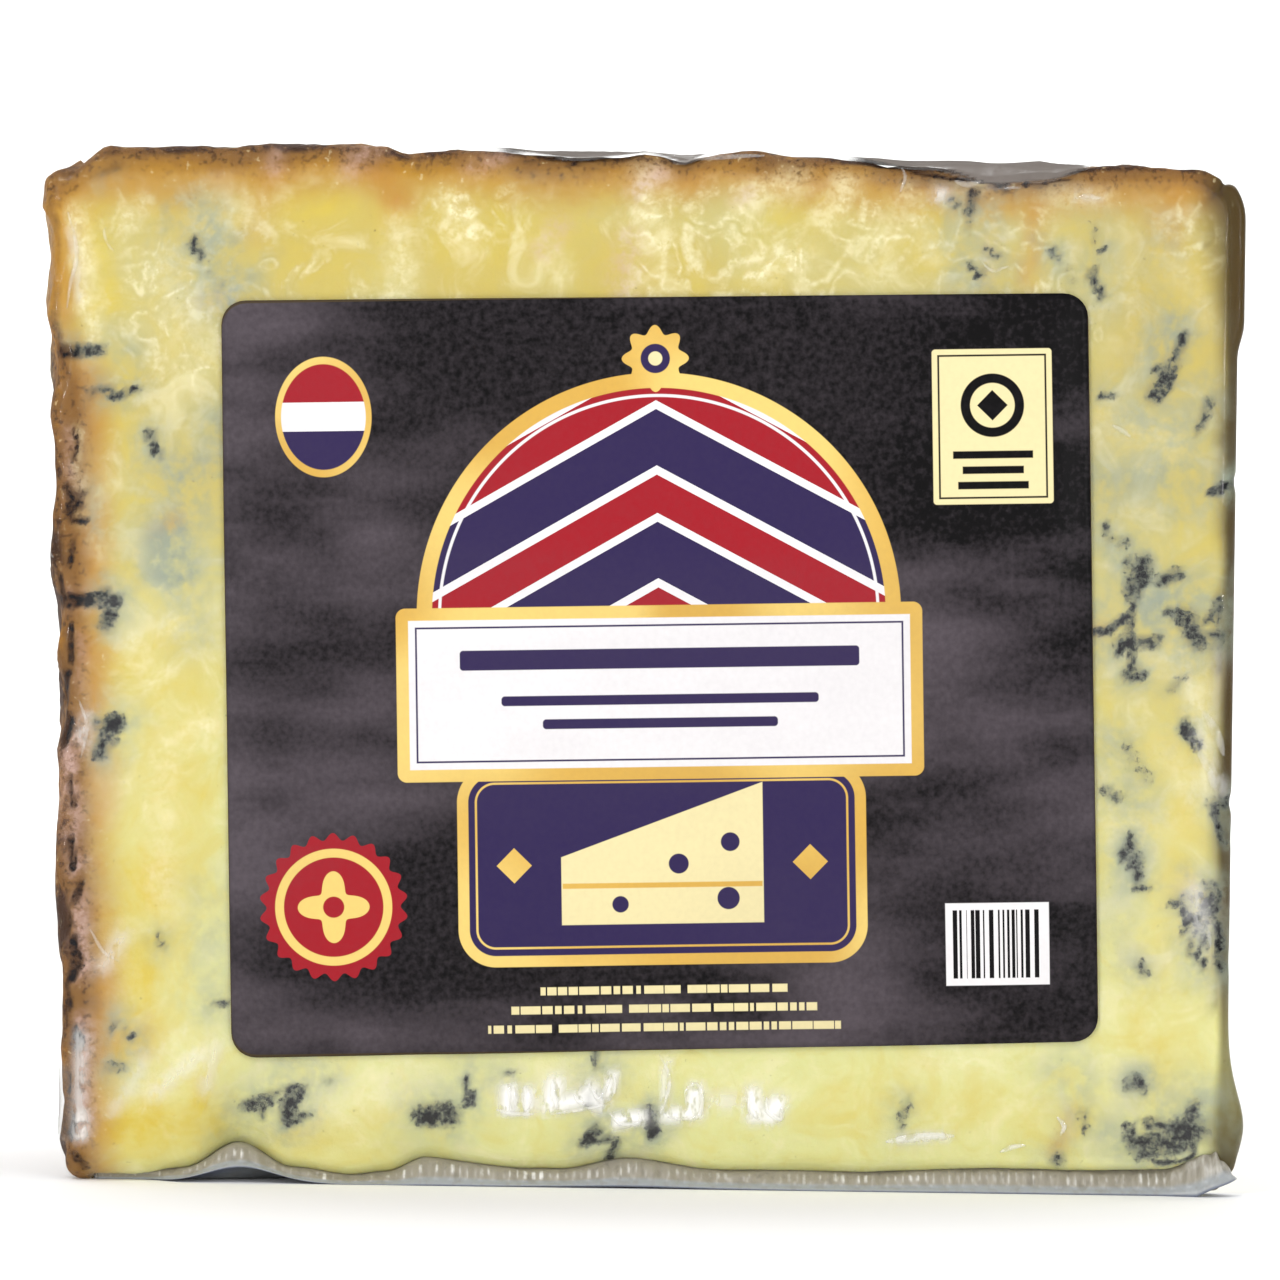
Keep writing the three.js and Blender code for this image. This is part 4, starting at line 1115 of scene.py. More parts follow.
class Print:
    """Flat inks laid one over another on the label, each inside a drawn shape."""

    BLUR = 0.07

    def __init__(self, finish, u, v, ground):
        self.finish = finish
        self.u = u
        self.v = v
        self.tone = ground

    def cover(self, distance):
        """1 inside a shape and 0 outside, from the distance to its outline."""
        return self.finish.maths("MULTIPLY_ADD", distance, -1 / self.BLUR, 0.5, clamp=True)

    def box(self, u, v, half_width, half_height, corner=0.0):
        """Distance to a box's outline, its middle at u, v."""
        finish = self.finish
        beyond_u = abs(self.u - u) - (half_width - corner)
        beyond_v = abs(self.v - v) - (half_height - corner)
        if not corner:
            return finish.most(beyond_u, beyond_v)
        outside = self.reach(finish.most(beyond_u, 0), finish.most(beyond_v, 0))
        return outside + finish.least(finish.most(beyond_u, beyond_v), 0) - corner

    def reach(self, across, along):
        return self.finish.maths("SQRT", across * across + along * along)

    def disc(self, u, v, radius, stretch=1.0):
        """Distance to a disc's outline, or to an oval's whose height is stretched."""
        return self.reach(self.u - u, (self.v - v) / stretch) - radius

    def lay(self, distance, tone, share=1.0):
        self.tone = self.finish.mix(self.cover(distance) * share, self.tone, tone)

    def rule(self, distance, width, tone):
        """A line along a shape's outline."""
        self.lay(abs(distance) - width / 2, tone)

    def beats(self, place, scale):
        """Noise from 0 to 1 along one direction."""
        inputs = {"W": place, "Scale": scale, "Detail": 0.0}
        node = self.finish.node("ShaderNodeTexNoise", inputs, noise_dimensions="1D")
        return Worked(self.finish, node.outputs["Fac"])


def print_label(finish, u, v, ground, inks):
    """The label's print: an arch of chevrons, a blank plate and small panels, with no lettering."""
    sheet = Print(finish, u, v, ground)
    gold = finish.mix(finish.field("shimmer"), inks.gold, inks.pale_gold)

    # the arch: chevrons of red, white and navy under a gold rim
    arch_middle, arch_radius = 5.0, 20.6
    arch = finish.most(sheet.disc(0, arch_middle, arch_radius), arch_middle - 3 - v)
    sheet.lay(arch, gold)
    slant = (v + abs(u) * 0.55) / 9.6
    chevrons = [(0, inks.navy), (0.34, inks.white), (0.42, inks.red), (0.76, inks.white), (0.84, inks.navy)]
    sheet.lay(arch + 1.3, finish.bands(finish.maths("FRACT", slant + 4), chevrons))
    sheet.rule(arch + 1.95, 0.25, inks.white)
    # a rosette on its crown
    crown = arch_middle + arch_radius + 1.2
    angle = finish.maths("ARCTAN2", u, v - crown)
    petals = finish.maths("COSINE", angle * 8) * 0.35
    sheet.lay(sheet.disc(0, crown, 2.5) - petals, gold)
    sheet.lay(sheet.disc(0, crown, 1.25), inks.navy)
    sheet.lay(sheet.disc(0, crown, 0.6), inks.cream)

    # the panel below: navy with a wedge of cheese
    panel_v, slice_half = -16.2, 8.5
    panel = sheet.box(0, panel_v, 17.4, 8.6, 3.2)
    sheet.lay(panel, gold)
    sheet.lay(panel + 0.95, inks.navy)
    sheet.rule(panel + 1.6, 0.18, gold)
    ends = abs(u) - slice_half
    slope = (v + 15.6) - (u + slice_half) * 0.36
    sheet.lay(finish.most(finish.most(slope, -(v + 21.2)), ends) - 0.1, inks.cream)
    sheet.lay(finish.most(abs(v + 18.0) - 0.22, ends), gold)
    holes = ((-3.6, -19.6, 0.7), (1.4, -16.2, 0.85), (5.6, -19.2, 0.95), (5.8, -14.4, 0.8))
    for hole_u, hole_v, hole in holes:
        sheet.lay(sheet.disc(hole_u, hole_v, hole), inks.navy)
    for dot_u in (-12.6, 12.6):
        sheet.lay(abs(u - dot_u) + abs(v - panel_v) - 1.5, gold)

    # the plate: white with plain rules
    plate = sheet.box(0, -1.6, 22.4, 7.4, 0.8)
    sheet.lay(plate, gold)
    sheet.lay(plate + 1.05, inks.white)
    sheet.rule(plate + 1.7, 0.16, inks.navy)
    for rule_v, half_width, half_height in ((1.3, 17.0, 0.85), (-2.2, 13.5, 0.42), (-4.2, 10.0, 0.42)):
        sheet.lay(sheet.box(0, rule_v, half_width, half_height, 0.3), inks.navy)

    # an oval of three bands, a cream card, a seal, and a panel of bars
    oval = sheet.disc(-28.3, 22.2, 4.1, 1.25)
    sheet.lay(oval, gold)
    thirds = [(0, inks.navy), (0.4, inks.white), (0.6, inks.red)]
    sheet.lay(oval + 0.5, finish.bands((v - 16.0) / 12.4, thirds))

    card_u, ring_v = 28.6, 22.4
    card = sheet.box(card_u, 20.6, 5.1, 6.6, 0.3)
    sheet.lay(card, inks.cream)
    sheet.rule(card + 0.55, 0.16, inks.black)
    sheet.lay(sheet.disc(card_u, ring_v, 2.7), inks.black)
    sheet.lay(sheet.disc(card_u, ring_v, 1.9), inks.cream)
    sheet.lay(abs(u - card_u) + abs(v - ring_v) - 1.3, inks.black)
    for bar_v, half_width in ((18.2, 3.4), (16.9, 2.6), (15.6, 3.0)):
        sheet.lay(sheet.box(card_u, bar_v, half_width, 0.32), inks.black)

    seal = (-28.0, -19.5)
    seal_angle = finish.maths("ARCTAN2", u - seal[0], v - seal[1])
    scallops = finish.maths("COSINE", seal_angle * 22) * 0.3
    sheet.lay(sheet.disc(*seal, 6.0) - scallops, inks.red)
    sheet.rule(sheet.disc(*seal, 4.6), 0.75, inks.pale_gold)
    quatrefoil = finish.maths("COSINE", seal_angle * 4) * 0.75
    sheet.lay(sheet.disc(*seal, 2.3) - quatrefoil, inks.pale_gold)
    sheet.lay(sheet.disc(*seal, 0.9), inks.red)

    code = sheet.box(28.4, -23.4, 4.4, 3.5)
    sheet.lay(code, inks.white)
    bars = finish.maths("GREATER_THAN", sheet.beats(u, 2.6), 0.5)
    sheet.tone = finish.mix(sheet.cover(code + 0.6) * bars, sheet.tone, inks.black)

    # three rows of short dashes
    for dash_v, half_width, shift in ((-26.9, 10.5, 0.0), (-28.5, 13.0, 5.0), (-30.1, 15.0, 11.0)):
        gaps = finish.maths("GREATER_THAN", abs(sheet.beats(u + shift, 0.55) - 0.5), 0.02)
        row = sheet.cover(sheet.box(0, dash_v, half_width, 0.34)) * gaps
        sheet.tone = finish.mix(row, sheet.tone, inks.cream)
    return sheet.tone


def label_finish(sizes, inks):
    """Satin black label paper with its print, a painted sheen, a pale cut edge and soft creases."""
    finish = Finish("label_print")
    x, y, z = finish.coordinates()
    centre = label_centre()
    cos, sin = math.cos(sizes.label_tilt), math.sin(sizes.label_tilt)
    x, z = x - centre.x, z - centre.z
    u, v = x * cos + z * sin, z * cos - x * sin
    painted_sheen, rim = finish.field("painted_sheen"), finish.field("rim")
    fibres = finish.noise(0.5, detail=2, offset=(1, 1, 1))
    # painted sheen on the ground
    ground = finish.mix(finish.clamped(painted_sheen + (fibres - 0.5) * 0.5), inks.black, inks.sheen)
    tone = print_label(finish, u, v, ground, inks)
    tone = finish.mix(finish.rise(rim, 0.09, 0.03), tone, inks.edge)
    # painted sheen over the inks as well
    tone = finish.mix((fibres - 0.45) * 0.12 + painted_sheen * 0.12, tone, inks.sheen)
    shader = finish.principled(
        {
            "Base Color": tone,
            "Roughness": 0.34 + fibres * 0.16,
            "Specular IOR Level": 0.1,
            "Normal": finish.bump((fibres - 0.5) * 0.02),
        }
    )
    return finish.surface(shader)


def floor_finish(settings):
    """Pale matt studio paper."""
    finish = Finish("studio_paper")
    mottle = finish.noise(90, detail=3)
    tone = finish.mix(mottle * 0.3, settings.floor, finish.shade(settings.floor, 0.97))
    return finish.surface(finish.principled({"Base Color": tone, "Roughness": 0.9}))


# ---------------------------------------------------------------------------------------------
# Pieces


def bag_skin(form):
    """The skin that the cheese and the film share, with its relief and the faces between points."""
    box, faces = box_skin(SKIN_COUNTS)
    skin = form.skin(box, SKIN_COUNTS, SKIN_EDGE_ROWS)
    skin.outward = form.relief(skin)
    skin.placed = form.place(skin, skin.outward)
    skin.front = eased(skin.placed[:, 1] - form.axis_y, 5.0, 2.0)
    skin.u = skin.placed[:, 0] - form.rind_x
    skin.up = skin.placed[:, 2]
    dips = sum(depth * bell((skin.up - at) / width) for at, depth, width in RIND_DIPS)
    skin.outward -= dips * skin.rind * skin.front
    return skin, faces


def hollows_along(form, skin):
    """How deep the rind lies under the film that bridges its hollows, along the top."""
    aside = skin.from_rind + 0.12 * (skin.placed[:, 1] - form.axis_y)
    return sum(deep * bell((aside - at) / width) for at, deep, width in TOP_HOLLOWS)


def mould_and_cloud(form, skin, u, up):
    """How strongly each point feels the mould, and the haze in the paste and round the mould."""
    spots = [(*mark, MOULD_SLIMNESS * width, strength) for *mark, width, strength in FRONT_MOULD]
    spots += as_streaks(FRONT_CRACKS, MOULD_WIDTH, MOULD_STRENGTH)
    veins = scattered_veins(form, BACK_VEINS)
    mould = np.maximum(streaks_near(u, up, spots) * skin.front, veins_near(skin.placed, veins))
    halo = [(*mark, width + HALO.wider, HALO.strength * strength) for *mark, width, strength in spots]
    cloud = np.maximum(streaks_near(u, up, FRONT_CLOUDS), streaks_near(u, up, halo)) * skin.front
    far_halo = [
        (start, end, width + BACK_HALO.wider, BACK_HALO.strength * strength)
        for start, end, width, strength in veins
    ]
    far_cloud = 0.7 * veins_near(skin.placed, scattered_veins(form, BACK_CLOUDS))
    return mould, np.maximum(cloud, np.maximum(far_cloud, veins_near(skin.placed, far_halo)))


def painted_tip_shade(skin, grain, u, up):
    """How much painted shade each point takes toward the tip, where the wedge turns away from the lamps."""
    reach = 2.8 + 0.9 * eased(skin.up, 64, 84) + 1.4 * eased(skin.up, 74, 84)
    reach += 0.6 * grain.layered(skin.placed, 5)
    reach -= (1.3 * bell((skin.up - 14) / 6) + 0.8 * bell((skin.up - 54) / 3)) * skin.front
    tip_shade = eased(skin.to_tip, reach, 0.5) * (1 - 0.3 * bell((skin.up - 12) / 6) * skin.front)
    return np.maximum(tip_shade, streaks_near(u, up, PAINTED_TIP_SHADES) * skin.front)


def patch_fields(skin, grain, u, up, side_depth):
    """How strongly each point feels each kind of coloured patch."""
    fields = {}
    uneven = skin.front * (0.85 + 0.3 * grain.at(skin.placed, 2.2))
    for name, (size, strength, near_rind) in FAR_PATCHES.items():
        near = np.clip(streaks_near(u, up, FRONT_PATCHES[name]) * uneven, 0, 1)
        far = eased(grain.layered(skin.placed + size, size), 0.25, 0.9) * strength * (1 - skin.front)
        if near_rind:
            far *= np.clip(1.5 - side_depth / 8, 0.15, 1)
        fields[name] = np.maximum(near, far)
    return fields


def make_cheese(sizes, colours):
    """The wedge itself, with broken rind, hollows under the film and blue mould."""
    form = BagForm(sizes)
    skin, faces = bag_skin(form)
    grain = Grain(CHEESE_SEED)
    front, placed = skin.front, skin.placed
    u = skin.u + 0.45 * grain.at(placed, 1.7)
    up = skin.up + 0.45 * grain.at(placed + 30, 1.7)
    mould, cloud = mould_and_cloud(form, skin, u, up)

    # how near the rind each point is, and how the rind is mottled
    side_depth = form.radius - np.hypot(*skin.plain[:, :2].T)
    side_depth += (between(-1.3, 1.3, eased(skin.up, 67, 74)) - bell((skin.up - 19) / 9)) * front
    hollow = hollows_along(form, skin)
    top_depth = 0.85 * (skin.top_depth - hollow) - 0.1
    depth = -np.logaddexp(-side_depth / 1.5, -top_depth / 1.5) * 1.5
    depth += 0.5 * grain.at(placed, 9) + 0.35 * grain.at(placed + 7, 3.5)
    cloud *= (0.9 + 0.4 * grain.layered(placed + 20, 3.4)) * eased(depth, 0.3, 2.6)
    depth -= 1.4 * bell((skin.u - 79) / 6) * eased(skin.up, 85.2, 86.2) * front
    crust = np.clip(eased(skin.top, 0.2, 0.8) + eased(skin.rind, 0.2, 0.8), 0, 1)
    crust *= 1 - 0.7 * eased(skin.up, 71, 75) * eased(skin.up, 86, 84) * skin.rind * front
    mottle = 0.48 + 0.35 * grain.layered(placed + 90, 4)
    mottle += 0.4 * eased(skin.up, 66, 76) * front * skin.rind
    mottle += skin.top * front * (0.08 - 0.4 * bell((skin.u - 73) / 7))

    # how far the cheese lies under its film
    rough = 0.3 * np.abs(grain.layered(placed, 4.5)) + 0.2 * np.maximum(0, grain.at(placed + 50, 2.4))
    inward = FILM_GAP + 0.05 * (1 + grain.layered(placed, 3.2)) * skin.cut
    inward += rough * np.maximum(skin.top, skin.rind)
    inward += hollow * eased(skin.normal[:, 2], 0.2, 0.8)
    inward += 0.25 * mould * (1 - skin.under)

    fields = {
        "mould": mould,
        "cloud": cloud,
        "rind_depth": depth,
        "crust": crust,
        "mottle": mottle,
        "ripe": eased(grain.layered(placed, 15), -0.6, 0.7),
        "low": eased(skin.up + 9 * grain.at(placed, 24), 70, 10) * 0.8,
        # painted film sheen in loops where the film clings
        "cling_sheen": eased(grain.at(placed + 60, 9), -0.4, 0.3) * (0.35 + 0.65 * eased(skin.up, 64, 72)),
        # painted shade toward the tip
        "tip_shade": painted_tip_shade(skin, grain, u, up),
        **patch_fields(skin, grain, u, up, side_depth),
    }
    cheese = make_piece("cheese", form.place(skin, skin.outward - inward), faces, fields)
    cheese.data.materials.append(paste_finish(colours))
    return cheese


def make_film(sizes, colours):
    """The clear film that is shrunk on the cheese."""
    form = BagForm(sizes)
    skin, faces = bag_skin(form)
    grain = Grain(FILM_SEED)
    placed = skin.placed
    free = 1 - eased(label_reach(form, sizes, placed), -0.6, 0.4) * skin.front
    # the film is crumpled along the foot, down the rind and beside the tip
    foot = eased(skin.up, 14, 9) * eased(skin.up, 3, 5) * eased(grain.at(placed, 13), -0.6, 0.2)
    rindward = eased(skin.u, 9, 2) * (0.5 + 0.5 * grain.at(placed + 8, 9))
    tipward = 0.5 * eased(skin.u, 95, 99) * eased(grain.at(placed + 5, 10), -0.2, 0.4)
    topward = eased(skin.up, 72, 80) * 0.35
    milk_and_highlight = streaks_near(skin.u, skin.up, FRONT_MILK_AND_HIGHLIGHTS) * skin.front
    # the painted highlight smears at the foot end at a straight line
    milk_and_highlight *= 1 - 0.9 * eased(skin.up, 6.5, 5.9) * eased(np.abs(skin.u - 43), 5.4, 4.8)
    crumpled = np.maximum.reduce([0.8 * foot, rindward, tipward, topward])
    crinkle = np.clip(0.03 + 0.5 * milk_and_highlight + crumpled, 0, 1) * free
    sag = (0.04 + 0.12 * crinkle) * grain.layered(placed, 4) * free
    flap = FLAP.reach * eased(skin.up, FLAP.low, FLAP.low + 1.2) * eased(skin.up, FLAP.high, FLAP.high - 2.5)
    flap = flap * skin.rind * skin.front
    slack = 0.35 * skin.rind * eased(grain.at(placed + 3, 11), 0.1, 0.7)
    outward = skin.outward + np.maximum(-0.04, sag) + flap + slack
    hollow = hollows_along(form, skin)
    # painted shade: the film over the hollows is greyed only near the front edge, where it is seen edge-on
    from_front = placed[:, 1] - placed[:, 1].min()
    reach = between(hollow, 1.6 * hollow + 0.3, eased(from_front, 5, 3))
    bridged = eased(skin.top_depth - reach, 0.05, -0.15) * eased(hollow, 0.05, 0.2)
    bridged *= between(0.06, 1.2, eased(from_front + 1.5 * grain.layered(placed, 4), 8, 3.5))
    turned = eased(np.maximum(np.abs(skin.normal[:, 0]), skin.normal[:, 2]), 0.02, 0.25)
    fields = {
        "milk_and_highlight": milk_and_highlight * free,
        # painted shade on the bridged film and on the flap
        "film_edge_shade": np.maximum(np.minimum(bridged * 0.85, 1), np.minimum(1.8 * flap, 0.9)),
        "crinkle": crinkle,
        "shine": 1 - 0.9 * turned,
    }
    film = make_piece("film", form.place(skin, outward), faces, fields)
    film.data.materials.append(film_finish(colours))
    return film


def curved(points, step):
    """Points about `step` apart on a smooth curve through a few points."""
    points = np.array(points, dtype=float)
    ends = np.concatenate([[2 * points[0] - points[1]], points, [2 * points[-1] - points[-2]]])
    line = []
    for before, start, end, after in zip(ends, ends[1:], ends[2:], ends[3:]):
        count = max(2, math.ceil(np.linalg.norm(end - start) / step))
        t = (np.arange(count) / count)[:, None]
        bend = 2 * before - 5 * start + 4 * end - after
        turn = 3 * start - before - 3 * end + after
        line.append(start + (t * (end - before) + t**2 * bend + t**3 * turn) / 2)
    return np.concatenate([*line, points[-1:]])


def make_folds(sizes, colours, film):
    """Small pinched folds that stand on the film."""
    form = BagForm(sizes)
    tree = BVHTree.FromObject(film, bpy.context.evaluated_depsgraph_get())
    lines = []
    for places, width, height in FRONT_FOLDS:
        line = [(form.rind_x + u, form.axis_y, up) for u, up in places]
        lines.append((curved(line, RIDGE_STEP), width, height))
    lines += wandering_folds(form, film)
    points, faces, milk_and_highlight, shine = [], [], [], []
    for line, width, height in lines:
        lowness = eased(line[:, 2], 16, 11)
        clearness = np.where(line[:, 1] > form.axis_y + 5, 0.35, 1.0)
        laid = [tree.find_nearest(Vector(place * MM)) for place in line]
        middle = np.array([hit[0] for hit in laid]) / MM
        outward = np.array([hit[1] for hit in laid])
        ahead = unit(np.gradient(middle, axis=0) + 1e-9)
        aside = unit(np.cross(outward, ahead))
        taper = np.sin(np.linspace(0.04, 0.96, len(line)) * math.pi)[:, None] ** 0.6
        turns = np.linspace(0, 2 * math.pi, RIDGE_SIDES, endpoint=False)
        first = sum(len(part) for part in points)
        for turn in turns:
            lift = height * max(math.sin(turn), -0.25)
            points.append(middle + taper * (aside * math.cos(turn) * width / 2 + outward * lift))
            # the crest is painted whiter, a painted highlight
            milk_and_highlight.append((0.04 + 0.2 * max(0, math.sin(turn))) * (0.7 + lowness) * clearness)
            shine.append(0.35 + 0.65 * lowness)
        ring = first + np.arange(RIDGE_SIDES) * len(line)
        for side in range(RIDGE_SIDES):
            here, there = ring[side], ring[(side + 1) % RIDGE_SIDES]
            faces += [(here + i, there + i, there + i + 1, here + i + 1) for i in range(len(line) - 1)]
        faces.append(tuple(ring[::-1].tolist()))
        faces.append(tuple((ring + len(line) - 1).tolist()))
    points = np.concatenate(points)
    nothing = np.zeros(len(points))
    fields = {
        "milk_and_highlight": np.concatenate(milk_and_highlight),
        "shine": np.concatenate(shine),
        "film_edge_shade": nothing,
        "crinkle": nothing,
    }
    folds = make_piece("film_folds", points, faces, fields)
    folds.data.materials.append(film.data.materials[0])
    return folds


def wandering_folds(form, film):
    """Lines over the film away from the front cut face, drawn at random from a seed."""
    draw = np.random.default_rng(FAR_FOLDS.seed)
    places = np.array([vertex.co for vertex in film.data.vertices]) / MM
    normals = np.array([vertex.normal for vertex in film.data.vertices])
    where = np.flatnonzero((places[:, 1] > form.axis_y + 6) & (places[:, 2] > 4) & (normals[:, 2] > -0.5))
    lines = []
    for chosen in draw.choice(where, FAR_FOLDS.count):
        place, normal = places[chosen], normals[chosen]
        heading = unit(np.cross(normal, draw.normal(size=3)))
        bend = draw.uniform(-FAR_FOLDS.bend, FAR_FOLDS.bend)
        line = [place]
        for _ in range(int(draw.uniform(*FAR_FOLDS.steps))):
            heading = unit(heading + bend * np.cross(normal, heading) * 0.5)
            line.append(line[-1] + heading * FAR_FOLDS.step)
        lines.append((np.array(line), draw.uniform(*FAR_FOLDS.widths), draw.uniform(*FAR_FOLDS.heights)))
    return lines


def hem_outline(form, count):
    """Points round the wedge's foot, evenly spaced, with the way out at each."""
    front = around_axis(form.corner_turn, form.core_radius)
    back = around_axis(form.angle - form.corner_turn, form.core_radius)
    back_heading = math.pi / 2 - form.angle
    back_corner = math.pi - form.angle + form.corner_turn
    arcs = [
        (front, form.edge, math.pi - form.corner_turn, 1.5 * math.pi),
        (form.tip_centre, form.tip, -math.pi / 2, back_heading),
        (back, form.edge, back_heading, back_corner),
        (np.zeros(2), form.radius, back_corner, math.pi - form.corner_turn),
    ]
    corners = []
    for centre, radius, start, end in arcs:
        turns = np.linspace(start, end, ARC_POINTS)[:, None]
        corners.append(centre + radius * np.concatenate([np.cos(turns), np.sin(turns)], -1))
    path = np.concatenate(corners)
    path = np.concatenate([path, path[:1]])
    gone = np.concatenate([[0], np.cumsum(np.linalg.norm(np.diff(path, axis=0), axis=-1))])
    wanted = np.arange(count) / count * gone[-1]
    points = np.stack([np.interp(wanted, gone, path[:, axis]) for axis in (0, 1)], -1)
    ahead = np.roll(points, -1, 0) - np.roll(points, 1, 0)
    return points, unit(np.stack([ahead[:, 1], -ahead[:, 0]], -1)), wanted


def faces_between(rings, count):
    """The faces between rings of points, and fans from two last points that close the outer rings."""
    number = np.arange(count)
    following = np.roll(number, -1)
    faces = []
    for upper in range(rings - 1):
        top, low = upper * count, (upper + 1) * count
        faces += np.stack([top + number, low + number, low + following, top + following], -1).tolist()
    last, top_cap, low_cap = (rings - 1) * count, rings * count, rings * count + 1
    faces += np.stack([number, following, np.full(count, top_cap)], -1).tolist()
    faces += np.stack([last + following, last + number, np.full(count, low_cap)], -1).tolist()
    return faces


def make_hem(sizes, colours):
    """The bag's gathered rim round the foot, ribbed above a smooth bead."""
    form = BagForm(sizes)
    count = HEM_POINTS
    outline, outward, gone = hem_outline(form, count)
    grain = Grain(HEM_SEED)
    from_rind = outline[:, 0] + form.radius
    behind = np.clip(outline[:, 1] / np.maximum(-outline[:, 0] * math.tan(form.angle), 1e-6), 0, 1)
    foot = foot_height(from_rind, behind)
    ring = np.stack([gone, 0.37 * gone, np.zeros(count)], -1)
    near_tip = eased(from_rind, 94, 100.5)
    beat = 2 * math.pi * gone / HEM_RIB + 1.8 * grain.at(ring, 6)
    ribs = np.cos(beat) * (0.75 + 0.5 * grain.at(ring + 9, 4))
    at_front = eased(behind, 0.2, 0.05)
    shown = 1 - at_front * eased(from_rind, 11, 6.5)
    lifted = 1.35 * bell((from_rind - 15.6) / 4.2) * at_front
    lifted += 0.15 * bell((from_rind - 49) / 8) * at_front
    lifted += HEM_TIP_CUT.climb * np.maximum(0, from_rind - HEM_TIP_CUT.start)
    crumple = near_tip * grain.layered(ring + 31, 2.2)
    rise = foot + 0.3 + 0.9 * near_tip
    # painted highlights: short bright strands on the rib crests, and on the crumpled film at the tip
    highlight_strands = eased(np.cos(2 * beat) + 1.1 * grain.at(ring + 3, 0.7), -0.2, 1.5)
    highlight_strands *= (0.75 + 0.6 * grain.at(ring + 12, 2.4)) * (1 - 0.7 * near_tip)
    strand_top = 0.2 + 0.14 * grain.at(ring + 15, 1.1)
    strand_end = 0.6 + 0.16 * grain.at(ring + 18, 0.9)
    rings, rims, rib_highlights = [], [], []
    for share, out, ribbed in HEM_PROFILE:
        fold = grain.at(np.stack([gone, np.full(count, 5.0 * share), np.zeros(count)], -1), 1.6)
        reach = out + 0.18 * ribbed * ribs + crumple * 0.5 * (1 - share) + near_tip * 1.1
        reach = reach * shown - 3.0 * (1 - shown) + 0.06 * fold * ribbed
        level = between(rise, lifted, share) + 0.12 * fold * ribbed * (1 - share)
        flat = outline + outward * reach[:, None]
        share_out = (form.radius - from_rind) / form.radius
        points = form.stood(np.concatenate([flat, np.zeros((count, 1))], -1), share_out)
        points[:, 2] = np.maximum(level, 0)
        rings.append(points)
        rims.append(np.full(count, share))
        lit = eased(share, strand_top - 0.1, strand_top + 0.1)
        lit *= eased(share, strand_end + 0.12, strand_end - 0.12)
        rib_highlights.append(np.maximum(highlight_strands * lit, near_tip * (0.55 + 0.4 * fold)))
    middle = rings[0].mean(axis=0)
    caps = [middle * [1, 1, 0] + [0, 0, float(rings[0][:, 2].mean())], middle * [1, 1, 0]]
    points = np.concatenate([*rings, caps])
    ends = [0.0, 0.0]
    fields = {"rim": np.concatenate([*rims, ends]), "rib_highlight": np.concatenate([*rib_highlights, ends])}
    hem = make_piece("film_hem", points, faces_between(len(rings), count), fields)
    hem.data.materials.append(hem_finish(colours))
    return hem


def make_label(sizes, inks):
    """The paper label on the front cut face."""
    form = BagForm(sizes)
    box, faces = box_skin(LABEL_COUNTS)
    core, edge = split(box, LABEL_COUNTS, LABEL_EDGE_ROWS)
    u, v = edge[:, 0], edge[:, 2]
    corner = sizes.label_corner / MM
    width = sizes.label_width / MM
    height = between(sizes.label_rind_height, sizes.label_tip_height, (box[:, 0] + 1) / 2) / MM
    turn = np.maximum(np.abs(u), np.abs(v)) / np.maximum(np.hypot(u, v), 1e-9)
    flat_u = core[:, 0] * (width / 2 - corner) + u * turn * corner
    flat_v = core[:, 2] * (height / 2 - corner) + v * turn * corner
    cos, sin = math.cos(sizes.label_tilt), math.sin(sizes.label_tilt)
    centre = label_centre()
    x = centre.x + flat_u * cos - flat_v * sin
    z = centre.z + flat_u * sin + flat_v * cos
    place = np.stack([x, np.full_like(x, form.axis_y), z], -1)
    rim = label_reach(form, sizes, place)
    grain = Grain(LABEL_SEED)
    waves = 0.06 * bumps(flat_u, flat_v, 23, 2.2) + 0.04 * grain.layered(place * [0.6, 1, 1.5], 7)
    waves += streaks_near(x - form.rind_x, z, LABEL_CREASES) * 0.16
    stand = 0.08 + 0.26 * eased(rim, 0, 3.5) + waves * eased(rim, 0, 3)
    front = box[:, 1] < 0
    stand = stand + np.where(front, 0.14, 0)
    relief = pillows(x - form.rind_x, z, FRONT_PHASE) - valleys(x - form.rind_x, z)
    points = np.stack([x, form.axis_y - relief - stand, z], -1)
    # painted sheen in broad patches, with less of it on the right
    patches = grain.layered(place * [0.5, 1, 1.2] + 40, 16) + 0.5 * grain.layered(place * [0.6, 1, 2] + 9, 5)
    shaded = bell(np.hypot((x - form.rind_x - 85) / 9, (z - 58) / 20))
    fields = {
        "rim": np.where(front, rim, 0),
        "painted_sheen": np.clip(0.1 + eased(patches, -0.7, 1.1) * 0.8 - 0.4 * shaded, 0, 1),
        "shimmer": eased(grain.at(place + 5, 9), -0.4, 0.4),
    }
    label = make_piece("label_sheet", points, faces, fields)
    label.data.materials.append(label_finish(sizes, inks))
    return label


def make_floor(settings):
    """A floor that sweeps up into a backdrop."""
    bend, half_width, back, front, top, steps = 0.7, 3.0, 1.9, -2.2, 2.6, 24
    line = [(front, 0.0), (0.0, 0.0), (back - bend, 0.0)]
    for step in range(1, steps + 1):
        turn = math.pi / 2 * step / steps
        line.append((back - bend + bend * math.sin(turn), bend - bend * math.cos(turn)))
    line.append((back, top))
    points = np.array([(x, y, z) for y, z in line for x in (-half_width, half_width)]) / MM
    faces = [(2 * i, 2 * i + 1, 2 * i + 3, 2 * i + 2) for i in range(len(line) - 1)]
    floor = make_piece("floor", points, faces)
    floor.data.materials.append(floor_finish(settings))
    floor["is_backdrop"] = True
    return floor


